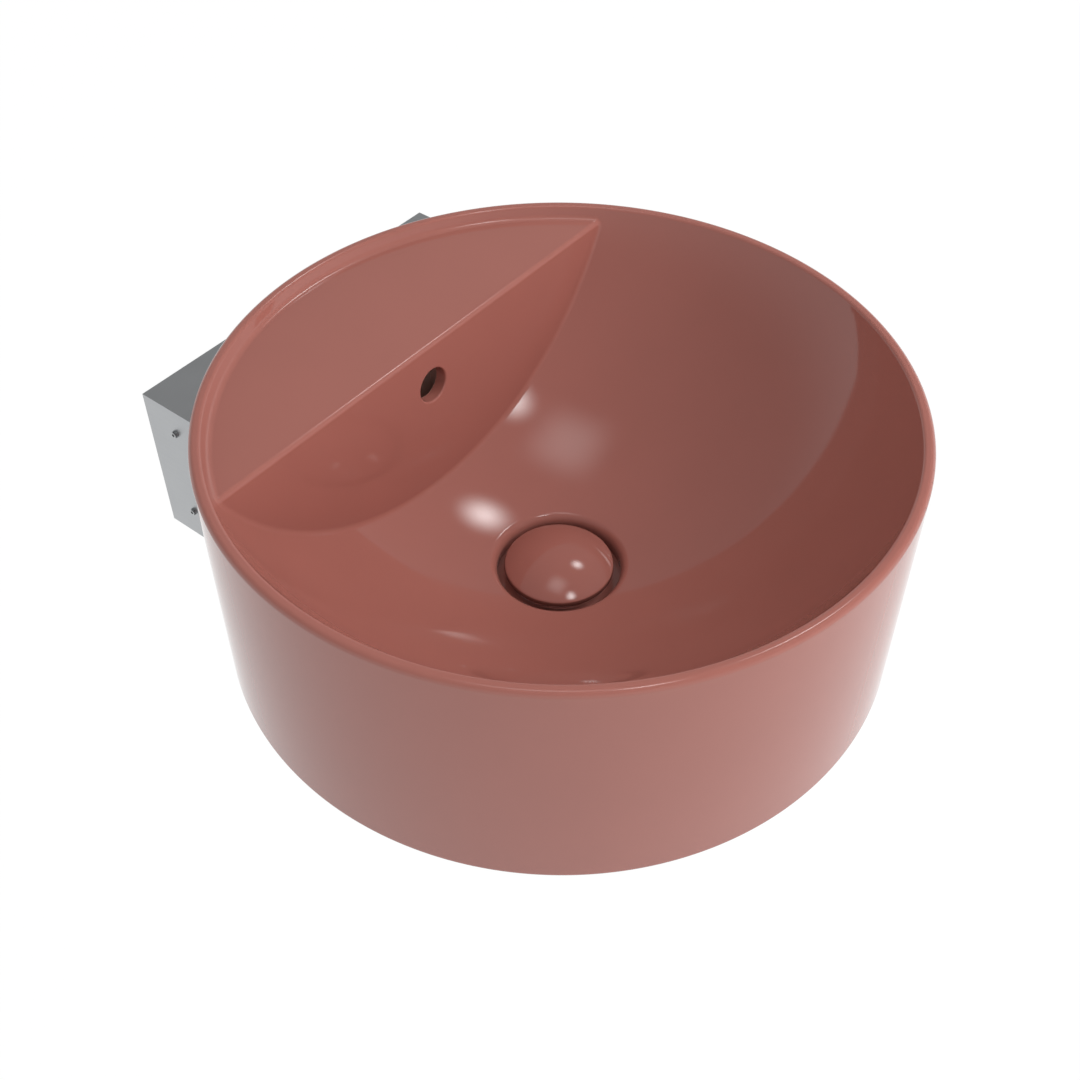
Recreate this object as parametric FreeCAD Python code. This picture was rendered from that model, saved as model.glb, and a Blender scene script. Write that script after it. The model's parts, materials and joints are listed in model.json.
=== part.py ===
import FreeCAD, Part
import math
import os

# Wall hung round basin on a steel box bracket, with a push-to-open waste. Millimetres.
# The origin lies on the wall, in the middle of the four wall bolt holes. +Z is up, +Y goes
# into the wall and X runs along it, so the basin reaches out towards -Y.

V = FreeCAD.Vector
UP = V(0, 0, 1)

# --- Ceramic basin body ---
outer_diameter = 420.0
rim_flat = 0.6              # level top of the rim, between its rounded edges
bowl_depth = 134.4          # from the rim to the lowest point of the bowl's sphere
skirt_wall = 8.0            # the upright outer wall
bowl_wall = 8.0             # the bowl shell and the wall below the deck's front edge
deck_thickness = 9.0
deck_drop = 7.7             # deck surface below the rim
deck_setback = 100.5        # bowl axis to the deck's front edge
deck_face_draft = 2.9       # degrees, the wall below the deck leans out at its foot
rim_outer_round = 3.6
rim_inner_round = 2.6
foot_round = 4.0
deck_edge_round = 3.1
deck_corner_fillet = 4.5    # where the deck and its front wall meet the bowl
wall_gap = 11.0             # back of the round body to the wall
foot_clearance = 2.0        # foot of the body below the underside of the waste seat

# --- Overflow, cast into the body ---
overflow_diameter = 23.0
overflow_drop = 37.4        # centre of the overflow hole below the rim
overflow_lip_round = 1.2
channel_margin = 8.0        # channel beside the overflow hole
channel_depth = 14.0
channel_wall = 5.0
channel_headroom = 4.0      # channel roof above the overflow hole
passage_height = 8.0        # the low passage from the channel into the waste hole
passage_wall = 4.5          # ceramic above and below that passage

# --- Waste seat, cast into the body ---
recess_edge_round = 6.5
recess_depth = 7.6          # recess floor below the lowest point of the bowl's sphere
seat_wall = 9.0             # ceramic round the recess

# --- Steel box bracket and its wall frame ---
bracket_width = 250.0
bracket_height = 105.0
bracket_channel_gap = 6.0   # bracket's front plate to the overflow channel
bracket_drop = 25.5         # bracket's top below the rim
bracket_sheet = 3.0
window_clearance = 2.0      # opening in the skirt round the bracket
frame_sheet = 3.0
frame_bolt_gap = 2.0        # front edge of the frame's flanges to the nearest bolt washer
frame_foot_gap = 3.0        # lower edge of the wall frame above the bracket's lower edge
wall_hole_diameter = 11.0
wall_hole_spacing_x = 180.0
wall_hole_spacing_z = 60.0

# --- Locking screws in the bracket's sides ---
lock_screw_diameter = 4.0
lock_screw_standout = 2.2
lock_screw_drop = 18.2      # upper locking screws below the bracket's top
lock_screw_rise = 21.9      # lower locking screws above the bracket's lower edge
lock_screw_socket = 2.0     # across flats
lock_screw_socket_depth = 2.0
lock_point_diameter = 2.8
lock_nut_flats = 7.0
lock_nut_height = 3.2
lock_nut_gap = 2.0          # lock nut to the wall frame's side flange
lock_setback = 12.8         # locking screws behind the front edges of those flanges
lock_point_gap = 0.3        # the screw's shoulder to that flange

# --- Bolts that carry the basin on the bracket ---
bolt_diameter = 8.0
bolt_length = 16.0
bolt_head_flats = 13.0
bolt_head_height = 5.3
bolt_washer_diameter = 17.0
bolt_washer_thickness = 1.6
bolt_spacing_x = 150.0
bolt_spacing_y = 27.0
bolt_front_gap = 1.0        # front bolt washers to the bracket's front plate
bolt_play = 0.5             # bolt in its slot, on the radius
bolt_slot_play = 4.0        # extra length of the bracket's slots
bolt_end_gap = 0.6          # end of the bolt to the end of its socket
insert_diameter = 12.0
boss_diameter = 24.0
pad_thickness = 2.0

# --- Waste ---
waste_thread_diameter = 41.9   # G 1 1/4
waste_wall = 2.45
waste_length = 76.0
waste_hole_play = 2.05      # waste in the ceramic's hole, on the radius
flange_width = 11.05        # flange beyond the thread
flange_thickness = 2.5
flange_edge_round = 1.2
flange_seal_thickness = 1.5
flange_seal_setback = 1.0   # seal's edge inside the flange's edge
plug_seat_depth = 1.5
overflow_slot_count = 6
overflow_slot_width = 9.0
cone_seal_width = 10.0      # beyond the thread
cone_seal_height = 7.0
cone_seal_chamfer = 2.4
slip_washer_width = 8.0     # beyond the thread
slip_washer_thickness = 1.5
back_nut_wall = 5.0         # thread to the nut's flats
back_nut_height = 8.0
back_nut_corner_cut = 1.0   # the nut's corners are turned down by this
tail_relief_drop = 4.0      # relief groove in the thread, below the back nut
tail_relief_width = 3.0
tail_relief_depth = 1.0
spider_arm_count = 3
spider_height = 6.0
spider_arm_width = 3.0
hub_wall = 3.0

# --- Push-to-open cartridge and plug ---
barrel_diameter = 18.0
barrel_wall = 2.0
barrel_floor = 2.0
barrel_drain_diameter = 6.0
barrel_headroom = 5.0       # barrel's mouth below the plug's lock nut
bush_height = 5.0
stem_diameter = 8.0
stem_guide_length = 4.0     # stem below the latch ring
stem_end_gap = 1.2          # carrier left whole above the end of the stem
collar_height = 3.0
latch_ring_height = 3.5
latch_tooth_count = 6
latch_tooth_width = 2.0
plug_travel = 9.0
spring_length = 11.0        # below the latch ring, with the plug down
spring_wire = 1.2
stem_nut_flats = 13.0
stem_nut_height = 4.0
cover_diameter = 69.6
cover_side_gap = 4.5        # cover to the wall of its recess
cover_lift = 2.5            # cover's underside above the waste's flange, with the plug down
cover_dome_radius = 65.0
cover_edge_round = 2.6
cover_foot_round = 0.9
cover_skirt = 3.5           # height of the cover's upright edge, before rounding
carrier_diameter = 54.0
carrier_thickness = 2.5
bond_pad_thickness = 0.8
bond_pad_setback = 1.0      # pad's edge inside the carrier's edge
neck_play = 1.5             # carrier's neck in the waste's bore, on the radius
seal_overlap = 3.0          # plug seal beyond the waste's bore
seal_seat_play = 1.5        # plug seal in its seat, on the radius
shoulder_setback = 1.0      # carrier's shoulder inside the edge of the seal
plug_seal_thickness = 2.6
seal_lip_height = 1.5       # the lip that holds the seal on the neck
seal_lip_width = 0.8
seal_rest_gap = 0.2         # plug seal above its seat, with the plug down

# --- Clearances between fitted pieces, on the radius ---
thread_play = 0.05
stem_play = 0.05
ring_play = 0.3
collar_play = 0.1
pocket_play = 0.3
collar_stop_gap = 0.5       # collar below the bush with the plug fully up

# Cutting shapes run past the surfaces that they open by this much.
overrun = 1.0

# --- Levels and places worked out from the sizes above ---
body_radius = outer_diameter / 2
seat_thickness = passage_height + 2 * passage_wall
body_height = bowl_depth + recess_depth + seat_thickness + foot_clearance
axis_y = -(wall_gap + body_radius)
rim_z = bracket_drop + bracket_height / 2
foot_z = rim_z - body_height
deck_z = rim_z - deck_drop
deck_underside_z = deck_z - deck_thickness
rim_inner_radius = body_radius - rim_outer_round - rim_flat - rim_inner_round
bowl_radius = (rim_inner_radius ** 2 + bowl_depth ** 2) / (2 * bowl_depth)
bowl_centre_z = rim_z - bowl_depth + bowl_radius
draft_slope = math.tan(math.radians(deck_face_draft))
recess_floor_z = rim_z - bowl_depth - recess_depth
recess_radius = cover_diameter / 2 + cover_side_gap
seat_underside_z = recess_floor_z - seat_thickness

overflow_z = rim_z - overflow_drop
channel_half = overflow_diameter / 2 + channel_margin
channel_roof_z = overflow_z + overflow_diameter / 2 + channel_headroom
passage_z = seat_underside_z + passage_wall

bracket_top_z = rim_z - bracket_drop
bracket_foot_z = bracket_top_z - bracket_height
bracket_half = bracket_width / 2
bracket_inner_half = bracket_half - bracket_sheet
bolt_seat_z = bracket_top_z - bracket_sheet
bolt_head_seat_z = bolt_seat_z - bolt_washer_thickness
bolt_end_z = bolt_head_seat_z + bolt_length
boss_foot_z = bracket_top_z + pad_thickness
socket_end_z = bolt_end_z + bolt_end_gap

frame_half = bracket_inner_half - lock_nut_height - lock_nut_gap
frame_inner_half = frame_half - frame_sheet
frame_top_z = bolt_seat_z
frame_foot_z = bracket_foot_z + frame_foot_gap

thread_radius = waste_thread_diameter / 2
waste_bore_radius = thread_radius - waste_wall
waste_hole_radius = thread_radius + waste_hole_play
flange_radius = thread_radius + flange_width
flange_foot_z = recess_floor_z + flange_seal_thickness
flange_top_z = flange_foot_z + flange_thickness
waste_foot_z = flange_top_z - waste_length
seal_seat_z = flange_top_z - plug_seat_depth
cone_seal_foot_z = seat_underside_z - cone_seal_height
slip_washer_foot_z = cone_seal_foot_z - slip_washer_thickness
back_nut_foot_z = slip_washer_foot_z - back_nut_height
tail_relief_top_z = back_nut_foot_z - tail_relief_drop
tail_relief_foot_z = tail_relief_top_z - tail_relief_width

cover_foot_z = flange_top_z + cover_lift
cover_edge_z = cover_foot_z + cover_skirt
carrier_top_z = cover_foot_z + carrier_thickness
stem_top_z = carrier_top_z - stem_end_gap
neck_radius = waste_bore_radius - neck_play
plug_seal_radius = waste_bore_radius + seal_overlap
seal_foot_z = seal_seat_z + seal_rest_gap
seal_top_z = seal_foot_z + plug_seal_thickness
neck_foot_z = seal_foot_z - seal_lip_height
stem_nut_foot_z = neck_foot_z - stem_nut_height

barrel_radius = barrel_diameter / 2
barrel_bore_radius = barrel_radius - barrel_wall
stem_radius = stem_diameter / 2
barrel_top_z = stem_nut_foot_z - barrel_headroom
bush_foot_z = barrel_top_z - bush_height
collar_foot_z = bush_foot_z - collar_stop_gap - plug_travel - collar_height
latch_foot_z = collar_foot_z - latch_ring_height
stem_foot_z = latch_foot_z - stem_guide_length
spring_foot_z = latch_foot_z - spring_length
barrel_foot_z = spring_foot_z - barrel_floor
hub_bore_radius = barrel_radius + thread_play
hub_radius = hub_bore_radius + hub_wall


def box(x0, x1, y0, y1, z0, z1):
    """A block between two corners."""
    return Part.makeBox(x1 - x0, y1 - y0, z1 - z0, V(x0, y0, z0))


def upright(radius, z0, z1, x=0.0, y=axis_y):
    """An upright cylinder, on the basin's axis unless a place is given."""
    return Part.makeCylinder(radius, z1 - z0, V(x, y, z0), UP)


def along_x(radius, x0, x1, y, z):
    return Part.makeCylinder(radius, x1 - x0, V(x0, y, z), V(1, 0, 0))


def along_y(radius, y0, y1, x, z):
    return Part.makeCylinder(radius, y1 - y0, V(x, y0, z), V(0, 1, 0))


def ring(outer_radius, inner_radius, z0, z1, x=0.0, y=axis_y):
    return upright(outer_radius, z0, z1, x, y).cut(upright(inner_radius, z0, z1, x, y))


def hexagon(across_flats, height, place, direction):
    """A hexagonal prism that starts at a place and grows along a direction."""
    corner_radius = across_flats / math.sqrt(3)
    side = direction.cross(V(0, 1, 0)) if abs(direction.y) < 0.9 else V(1, 0, 0)
    side.normalize()
    other = direction.cross(side)
    corners = []
    for index in range(7):
        angle = math.radians(60 * index)
        corners.append(place + (side * math.cos(angle) + other * math.sin(angle)) * corner_radius)
    return Part.Face(Part.makePolygon(corners)).extrude(direction * height)


def side_profile(points, half_width):
    """A prism across the basin, from corners (y, z) in the middle plane."""
    corners = [V(-half_width, y, z) for y, z in points]
    return Part.Face(Part.makePolygon(corners + corners[:1])).extrude(V(2 * half_width, 0, 0))


def turned(edges):
    """A solid of revolution round the basin's axis, from a closed run of edges."""
    face = Part.Face(Part.Wire(edges))
    return face.revolve(V(0, axis_y, 0), UP, 360)


def on_axis(radius, z):
    """A point of a turned piece's outline."""
    return V(radius, axis_y, z)


def line(start, end):
    return Part.LineSegment(start, end).toShape()


def rounded(shape, radius, chosen):
    """The shape with every edge that passes the test rounded."""
    return shape.makeFillet(radius, [edge for edge in shape.Edges if chosen(edge)])


def middle_of(edge):
    return edge.valueAt((edge.FirstParameter + edge.LastParameter) / 2)


def is_circle_at(edge, radius, z):
    """True for an edge that is a level circle of this size round the basin's axis."""
    point = middle_of(edge)
    reach = math.hypot(point.x, point.y - axis_y)
    level = abs(edge.BoundBox.ZMax - z) < 0.01 and abs(edge.BoundBox.ZMin - z) < 0.01
    return level and abs(reach - radius) < 0.01


def joined(shapes):
    return shapes[0].multiFuse(shapes[1:]).removeSplitter()


def grouped(shapes):
    """Separate solids that share one node."""
    return Part.makeCompound(shapes)


def face_y(z, depth):
    """Where the wall below the deck's front edge lies at a height, a depth into the ceramic."""
    return axis_y + deck_setback - (deck_z - z) * draft_slope + depth


def channel_back_y(z, depth=0.0):
    """Where the back of the overflow channel lies at a height, a depth into its wall."""
    return face_y(z, bowl_wall + channel_depth + depth)


# --- Places that follow from the channel: the bracket's front and what stands behind it ---
bracket_front_y = channel_back_y(deck_underside_z, channel_wall) + bracket_channel_gap
front_bolt_y = bracket_front_y + bracket_sheet + bolt_front_gap + bolt_washer_diameter / 2
frame_front_y = front_bolt_y + bolt_spacing_y + bolt_washer_diameter / 2 + frame_bolt_gap
lock_screw_y = frame_front_y + lock_setback


# --- Ceramic body ---

def bowl_space():
    """The hollow of the bowl, in front of the deck and above it, with its corner fillets."""
    sphere = Part.makeSphere(bowl_radius, V(0, axis_y, bowl_centre_z))
    low_z = foot_z - overrun
    block = side_profile(
        [(face_y(low_z, 0), low_z), (face_y(deck_z, 0), deck_z), (0, deck_z), (0, low_z)],
        body_radius)
    block = rounded(block, deck_edge_round, is_deck_front_edge)
    space = sphere.cut(block)
    return rounded(space, deck_corner_fillet, is_bowl_corner)


def is_deck_front_edge(edge):
    point = middle_of(edge)
    return abs(point.z - deck_z) < 0.01 and abs(point.y - face_y(deck_z, 0)) < 0.01


def is_bowl_corner(edge):
    """True where the deck, its front edge or its front wall meets the sphere of the bowl."""
    point = middle_of(edge)
    on_sphere = abs(point.distanceToPoint(V(0, axis_y, bowl_centre_z)) - bowl_radius) < 0.01
    return on_sphere and point.z < rim_z and point.y > axis_y + deck_setback / 2


def bolt_places():
    """The four bolts that carry the basin on the bracket."""
    places = []
    for x in (-bolt_spacing_x / 2, bolt_spacing_x / 2):
        for y in (front_bolt_y, front_bolt_y + bolt_spacing_y):
            places.append((x, y))
    return places


def channel_casting():
    """The ceramic round the overflow channel, before its passage is taken out."""
    half = channel_half + channel_wall
    upright_part = side_profile(
        [(face_y(seat_underside_z, 0), seat_underside_z),
         (face_y(deck_underside_z, 0), deck_underside_z),
         (channel_back_y(deck_underside_z, channel_wall), deck_underside_z),
         (channel_back_y(seat_underside_z, channel_wall), seat_underside_z)], half)
    low_part = box(-half, half, axis_y, face_y(seat_underside_z, bowl_wall),
                   seat_underside_z, rim_z - bowl_depth)
    return [upright_part, low_part]


def channel_passage():
    """The way for water from the overflow hole down to the waste hole."""
    upright_part = side_profile(
        [(face_y(passage_z, bowl_wall), passage_z),
         (face_y(channel_roof_z, bowl_wall), channel_roof_z),
         (channel_back_y(channel_roof_z), channel_roof_z),
         (channel_back_y(passage_z), passage_z)], channel_half)
    low_part = box(-channel_half, channel_half, axis_y, channel_back_y(passage_z),
                   passage_z, passage_z + passage_height)
    return upright_part.fuse(low_part)


def skirt_window():
    """The opening in the back of the skirt for the bracket and the ends of its locking screws."""
    half = bracket_half + window_clearance
    opening = box(-half, half, axis_y, 0, bracket_foot_z - window_clearance,
                  bracket_top_z + window_clearance)
    screw_ends = [side_cylinder(side, lock_screw_diameter / 2 + window_clearance, 0,
                                bracket_half + lock_screw_standout + window_clearance, z)
                  for side, z in lock_screw_places()]
    skirt = ring(body_radius + overrun, body_radius - skirt_wall - overrun, foot_z, rim_z)
    return opening.fuse(screw_ends).common(skirt)


def under_space():
    """The open hollow below the bowl and the deck, less the castings that stand in it."""
    space = upright(body_radius - skirt_wall, foot_z, deck_underside_z)
    shell = Part.makeSphere(bowl_radius + bowl_wall, V(0, axis_y, bowl_centre_z))
    front = side_profile(
        [(axis_y - body_radius, foot_z), (axis_y - body_radius, rim_z),
         (face_y(rim_z, bowl_wall), rim_z), (face_y(foot_z, bowl_wall), foot_z)], body_radius)
    seat = upright(recess_radius + seat_wall, seat_underside_z, rim_z - bowl_depth)
    bosses = [upright(boss_diameter / 2, boss_foot_z, deck_underside_z, x, y)
              for x, y in bolt_places()]
    return space.cut([shell.common(front), seat] + channel_casting() + bosses)


def overflow_hole():
    """The hole in the wall below the deck, square to that wall, with a rounded lip."""
    centre = V(0, face_y(overflow_z, 0), overflow_z)
    inward = V(0, math.cos(math.radians(deck_face_draft)), math.sin(math.radians(-deck_face_draft)))
    return Part.makeCylinder(overflow_diameter / 2, bowl_wall + channel_depth / 2,
                             centre - inward * overrun, inward)


def basin_body():
    drum = upright(body_radius, foot_z, rim_z)
    drum = rounded(drum, rim_outer_round, lambda edge: is_circle_at(edge, body_radius, rim_z))
    drum = rounded(drum, foot_round, lambda edge: is_circle_at(edge, body_radius, foot_z))
    body = drum.cut(bowl_space())
    body = rounded(body, rim_inner_round,
                   lambda edge: is_circle_at(edge, rim_inner_radius, rim_z))
    bowl_at_recess_z = bowl_centre_z - math.sqrt(bowl_radius ** 2 - recess_radius ** 2)
    body = body.cut(upright(recess_radius, recess_floor_z, rim_z))
    body = rounded(body, recess_edge_round,
                   lambda edge: is_circle_at(edge, recess_radius, bowl_at_recess_z))
    sockets = [upright(insert_diameter / 2, boss_foot_z, socket_end_z, x, y)
               for x, y in bolt_places()]
    body = body.cut([under_space(), upright(waste_hole_radius, foot_z, rim_z),
                     channel_passage(), skirt_window()] + sockets)
    body = body.cut(overflow_hole())
    return rounded(body, overflow_lip_round, is_overflow_lip)


def is_overflow_lip(edge):
    """True for the edge of the overflow hole on the bowl's side."""
    centre = V(0, face_y(overflow_z, 0), overflow_z)
    box_centre = edge.BoundBox.Center
    as_wide = abs(edge.BoundBox.XLength - overflow_diameter) < 0.01
    return as_wide and box_centre.distanceToPoint(centre) < bowl_wall / 4


# --- Bracket, wall frame and their fasteners ---

def lock_screw_places():
    """Height of the two locking screws on each side, and the side they are on."""
    places = []
    for side in (-1, 1):
        for z in (bracket_top_z - lock_screw_drop, bracket_foot_z + lock_screw_rise):
            places.append((side, z))
    return places


def side_cylinder(side, radius, start, end, z):
    """A cylinder along X on one side of the bracket, between two distances from the middle."""
    low = min(side * start, side * end)
    return along_x(radius, low, low + abs(end - start), lock_screw_y, z)


def bracket_shell():
    """The folded box: a top, two sides and a front, open below and at the wall."""
    outside = box(-bracket_half, bracket_half, bracket_front_y, 0, bracket_foot_z, bracket_top_z)
    inside = box(-bracket_inner_half, bracket_inner_half, bracket_front_y + bracket_sheet, overrun,
                 bracket_foot_z - overrun, bolt_seat_z)
    shell = outside.cut(inside)
    screw_radius = lock_screw_diameter / 2 + thread_play
    cuts = [side_cylinder(side, screw_radius, bracket_inner_half - overrun,
                          bracket_half + overrun, z)
            for side, z in lock_screw_places()]
    for x, y in bolt_places():
        cuts.append(bolt_slot(x, y))
    return shell.cut(cuts)


def bolt_slot(x, y):
    """A slot in the bracket's top, long in the direction that sets the basin to the wall."""
    radius = bolt_diameter / 2 + bolt_play
    half = bolt_slot_play / 2
    low_z = bolt_seat_z - overrun
    high_z = bracket_top_z + overrun
    ends = [upright(radius, low_z, high_z, x, y + shift) for shift in (-half, half)]
    return joined(ends + [box(x - radius, x + radius, y - half, y + half, low_z, high_z)])


def wall_frame():
    """The folded frame bolted to the wall: a back plate with a top and two side flanges."""
    outside = box(-frame_half, frame_half, frame_front_y, 0, frame_foot_z, frame_top_z)
    inside = box(-frame_inner_half, frame_inner_half, frame_front_y - overrun, -frame_sheet,
                 frame_foot_z - overrun, frame_top_z - frame_sheet)
    frame = outside.cut(inside)
    point_radius = lock_point_diameter / 2 + thread_play
    cuts = [side_cylinder(side, point_radius, frame_inner_half - overrun,
                          frame_half + overrun, z)
            for side, z in lock_screw_places()]
    for x in (-wall_hole_spacing_x / 2, wall_hole_spacing_x / 2):
        for z in (-wall_hole_spacing_z / 2, wall_hole_spacing_z / 2):
            cuts.append(along_y(wall_hole_diameter / 2, -frame_sheet - overrun, overrun, x, z))
    return frame.cut(cuts)


def lock_screws():
    """Socket set screws whose points enter the wall frame's side flanges."""
    screws = []
    shoulder = frame_half + lock_point_gap
    end = bracket_half + lock_screw_standout
    for side, z in lock_screw_places():
        shank = side_cylinder(side, lock_screw_diameter / 2, shoulder, end, z)
        point = side_cylinder(side, lock_point_diameter / 2, frame_inner_half, shoulder, z)
        start = V(side * end, lock_screw_y, z)
        socket = hexagon(lock_screw_socket, lock_screw_socket_depth, start, V(-side, 0, 0))
        screws.append(shank.fuse(point).cut(socket))
    return grouped(screws)


def lock_nuts():
    """Hexagonal nuts welded inside the bracket's sides."""
    nuts = []
    for side, z in lock_screw_places():
        start = V(side * bracket_inner_half, lock_screw_y, z)
        nut = hexagon(lock_nut_flats, lock_nut_height, start, V(-side, 0, 0))
        bore = side_cylinder(side, lock_screw_diameter / 2 + thread_play,
                             bracket_inner_half - lock_nut_height - overrun,
                             bracket_inner_half + overrun, z)
        nuts.append(nut.cut(bore))
    return grouped(nuts)


def basin_bolts():
    bolts = []
    for x, y in bolt_places():
        head = hexagon(bolt_head_flats, bolt_head_height, V(x, y, bolt_head_seat_z), V(0, 0, -1))
        shank = upright(bolt_diameter / 2, bolt_head_seat_z, bolt_end_z, x, y)
        bolts.append(head.fuse(shank))
    return grouped(bolts)


def bolt_washers():
    hole = bolt_diameter / 2 + ring_play
    return grouped([ring(bolt_washer_diameter / 2, hole, bolt_head_seat_z, bolt_seat_z, x, y)
                    for x, y in bolt_places()])


def bolt_inserts():
    """Threaded sleeves set in the bosses under the deck, where the ceramic closes their tops."""
    bore = bolt_diameter / 2 + thread_play
    return grouped([ring(insert_diameter / 2, bore, boss_foot_z, socket_end_z, x, y)
                    for x, y in bolt_places()])


def bracket_pads():
    """Rubber discs between the bosses and the bracket's top."""
    hole = bolt_diameter / 2 + ring_play
    return grouped([ring(boss_diameter / 2, hole, bracket_top_z, boss_foot_z, x, y)
                    for x, y in bolt_places()])


# --- Waste ---

def waste_body():
    """The threaded waste with its flange, seat, overflow slots and the spider in its bore."""
    tube = upright(thread_radius, waste_foot_z, flange_top_z)
    flange = upright(flange_radius, flange_foot_z, flange_top_z)
    flange = rounded(flange, flange_edge_round,
                     lambda edge: is_circle_at(edge, flange_radius, flange_top_z))
    body = tube.fuse(flange)
    seat_radius = plug_seal_radius + seal_seat_play
    body = body.cut([upright(waste_bore_radius, waste_foot_z, flange_top_z),
                     upright(seat_radius, seal_seat_z, flange_top_z), tail_relief()]
                    + overflow_slots())
    return joined([body] + spider())


def tail_relief():
    """The groove that ends the back nut's thread, so that the trap's nut has a run of its own."""
    return ring(thread_radius + overrun, thread_radius - tail_relief_depth,
                tail_relief_foot_z, tail_relief_top_z)


def overflow_slots():
    """The slots in the waste that let the overflow passage drain into it."""
    slots = []
    for index in range(overflow_slot_count):
        slot = box(0, thread_radius + overrun, axis_y - overflow_slot_width / 2,
                   axis_y + overflow_slot_width / 2, passage_z, passage_z + passage_height)
        slot.rotate(V(0, axis_y, 0), UP, 360 * (index + 0.5) / overflow_slot_count)
        slots.append(slot)
    return slots


def spider():
    """The arms and the hub that hold the cartridge in the middle of the bore."""
    top_z = barrel_foot_z + spider_height
    arm_start = (hub_radius + hub_bore_radius) / 2
    arm_end = (thread_radius + waste_bore_radius) / 2
    arms = []
    for index in range(spider_arm_count):
        arm = box(arm_start, arm_end, axis_y - spider_arm_width / 2,
                  axis_y + spider_arm_width / 2, barrel_foot_z, top_z)
        arm.rotate(V(0, axis_y, 0), UP, 90 + 360 * index / spider_arm_count)
        arms.append(arm)
    return [ring(hub_radius, hub_bore_radius, barrel_foot_z, top_z)] + arms


def flange_seal():
    return ring(flange_radius - flange_seal_setback, thread_radius + ring_play,
                recess_floor_z, flange_foot_z)


def cone_seal():
    """The thick rubber ring below the ceramic, with its upper edge cut to a cone."""
    inner = thread_radius + ring_play
    outer = thread_radius + cone_seal_width
    low = on_axis(inner, cone_seal_foot_z)
    low_out = on_axis(outer, cone_seal_foot_z)
    high_out = on_axis(outer, seat_underside_z - cone_seal_chamfer)
    lip = on_axis(outer - cone_seal_chamfer, seat_underside_z)
    high = on_axis(inner, seat_underside_z)
    return turned([line(low, low_out), line(low_out, high_out), line(high_out, lip),
                   line(lip, high), line(high, low)])


def slip_washer():
    return ring(thread_radius + slip_washer_width, thread_radius + ring_play,
                slip_washer_foot_z, cone_seal_foot_z)


def back_nut():
    flats = 2 * (thread_radius + back_nut_wall)
    corner_radius = flats / math.sqrt(3)
    nut = hexagon(flats, back_nut_height, V(0, axis_y, back_nut_foot_z), UP)
    turned_down = upright(corner_radius - back_nut_corner_cut, back_nut_foot_z, slip_washer_foot_z)
    bore = upright(thread_radius + thread_play, back_nut_foot_z, slip_washer_foot_z)
    return nut.common(turned_down).cut(bore)


# --- Cartridge and plug ---

def clicker_barrel():
    """The cartridge's tube, closed at its foot but for a drain hole."""
    barrel = upright(barrel_radius, barrel_foot_z, barrel_top_z)
    return barrel.cut([upright(barrel_bore_radius, spring_foot_z, barrel_top_z),
                       upright(barrel_drain_diameter / 2, barrel_foot_z, barrel_top_z)])


def clicker_bush():
    """The guide bush pressed into the barrel's mouth."""
    return ring(barrel_bore_radius, stem_radius + stem_play, bush_foot_z, barrel_top_z)


def clicker_stem():
    """The stem that the plug is screwed on, with the collar that stops it in the barrel."""
    stem = upright(stem_radius, stem_foot_z, stem_top_z)
    collar = upright(barrel_bore_radius - collar_play, collar_foot_z,
                     collar_foot_z + collar_height)
    return joined([stem, collar])


def latch_ring():
    """The toothed ring that turns a step at each push and holds the plug down or lets it up."""
    body = ring(barrel_bore_radius - collar_play, stem_radius + stem_play,
                latch_foot_z, collar_foot_z)
    notch_start = (stem_radius + barrel_bore_radius) / 2
    notches = []
    for index in range(latch_tooth_count):
        notch = box(notch_start, barrel_radius, axis_y, axis_y + latch_tooth_width,
                    latch_foot_z, latch_foot_z + latch_ring_height / 2)
        notch.rotate(V(0, axis_y, 0), UP, 360 * index / latch_tooth_count)
        notches.append(notch)
    return body.cut(notches)


def clicker_spring():
    """The spring below the latch ring, as the sleeve that its turns fill."""
    outer = barrel_bore_radius - ring_play
    return ring(outer, outer - spring_wire, spring_foot_z, latch_foot_z)


def stem_lock_nut():
    nut = hexagon(stem_nut_flats, stem_nut_height, V(0, axis_y, stem_nut_foot_z), UP)
    return nut.cut(upright(stem_radius + thread_play, stem_nut_foot_z, neck_foot_z))


def plug_carrier():
    """The disc under the cover, with the neck and shoulder that hold the seal."""
    disc = upright(carrier_diameter / 2, cover_foot_z, carrier_top_z)
    shoulder = upright(plug_seal_radius - shoulder_setback, seal_top_z, cover_foot_z)
    neck = upright(neck_radius, neck_foot_z, seal_top_z)
    lip = upright(neck_radius + seal_lip_width, neck_foot_z, seal_foot_z)
    bore = upright(stem_radius + thread_play, neck_foot_z, stem_top_z)
    return joined([disc, shoulder, neck, lip]).cut(bore)


def plug_seal():
    return ring(plug_seal_radius, neck_radius, seal_foot_z, seal_top_z)


def cover_bond_pad():
    """The soft disc that beds the ceramic cover on its carrier."""
    return upright(carrier_diameter / 2 - bond_pad_setback, carrier_top_z,
                   carrier_top_z + bond_pad_thickness)


def drain_cover():
    """The domed ceramic cover with the pocket for its carrier."""
    radius = cover_diameter / 2
    centre_z = cover_edge_z - math.sqrt(cover_dome_radius ** 2 - radius ** 2)
    dome = Part.makeSphere(cover_dome_radius, V(0, axis_y, centre_z))
    cover = dome.common(upright(radius, cover_foot_z, centre_z + cover_dome_radius + overrun))
    cover = rounded(cover, cover_edge_round, lambda edge: is_circle_at(edge, radius, cover_edge_z))
    cover = rounded(cover, cover_foot_round,
                    lambda edge: is_circle_at(edge, radius, cover_foot_z))
    pocket = upright(carrier_diameter / 2 + pocket_play, cover_foot_z,
                     carrier_top_z + bond_pad_thickness)
    return cover.cut(pocket)


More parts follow.
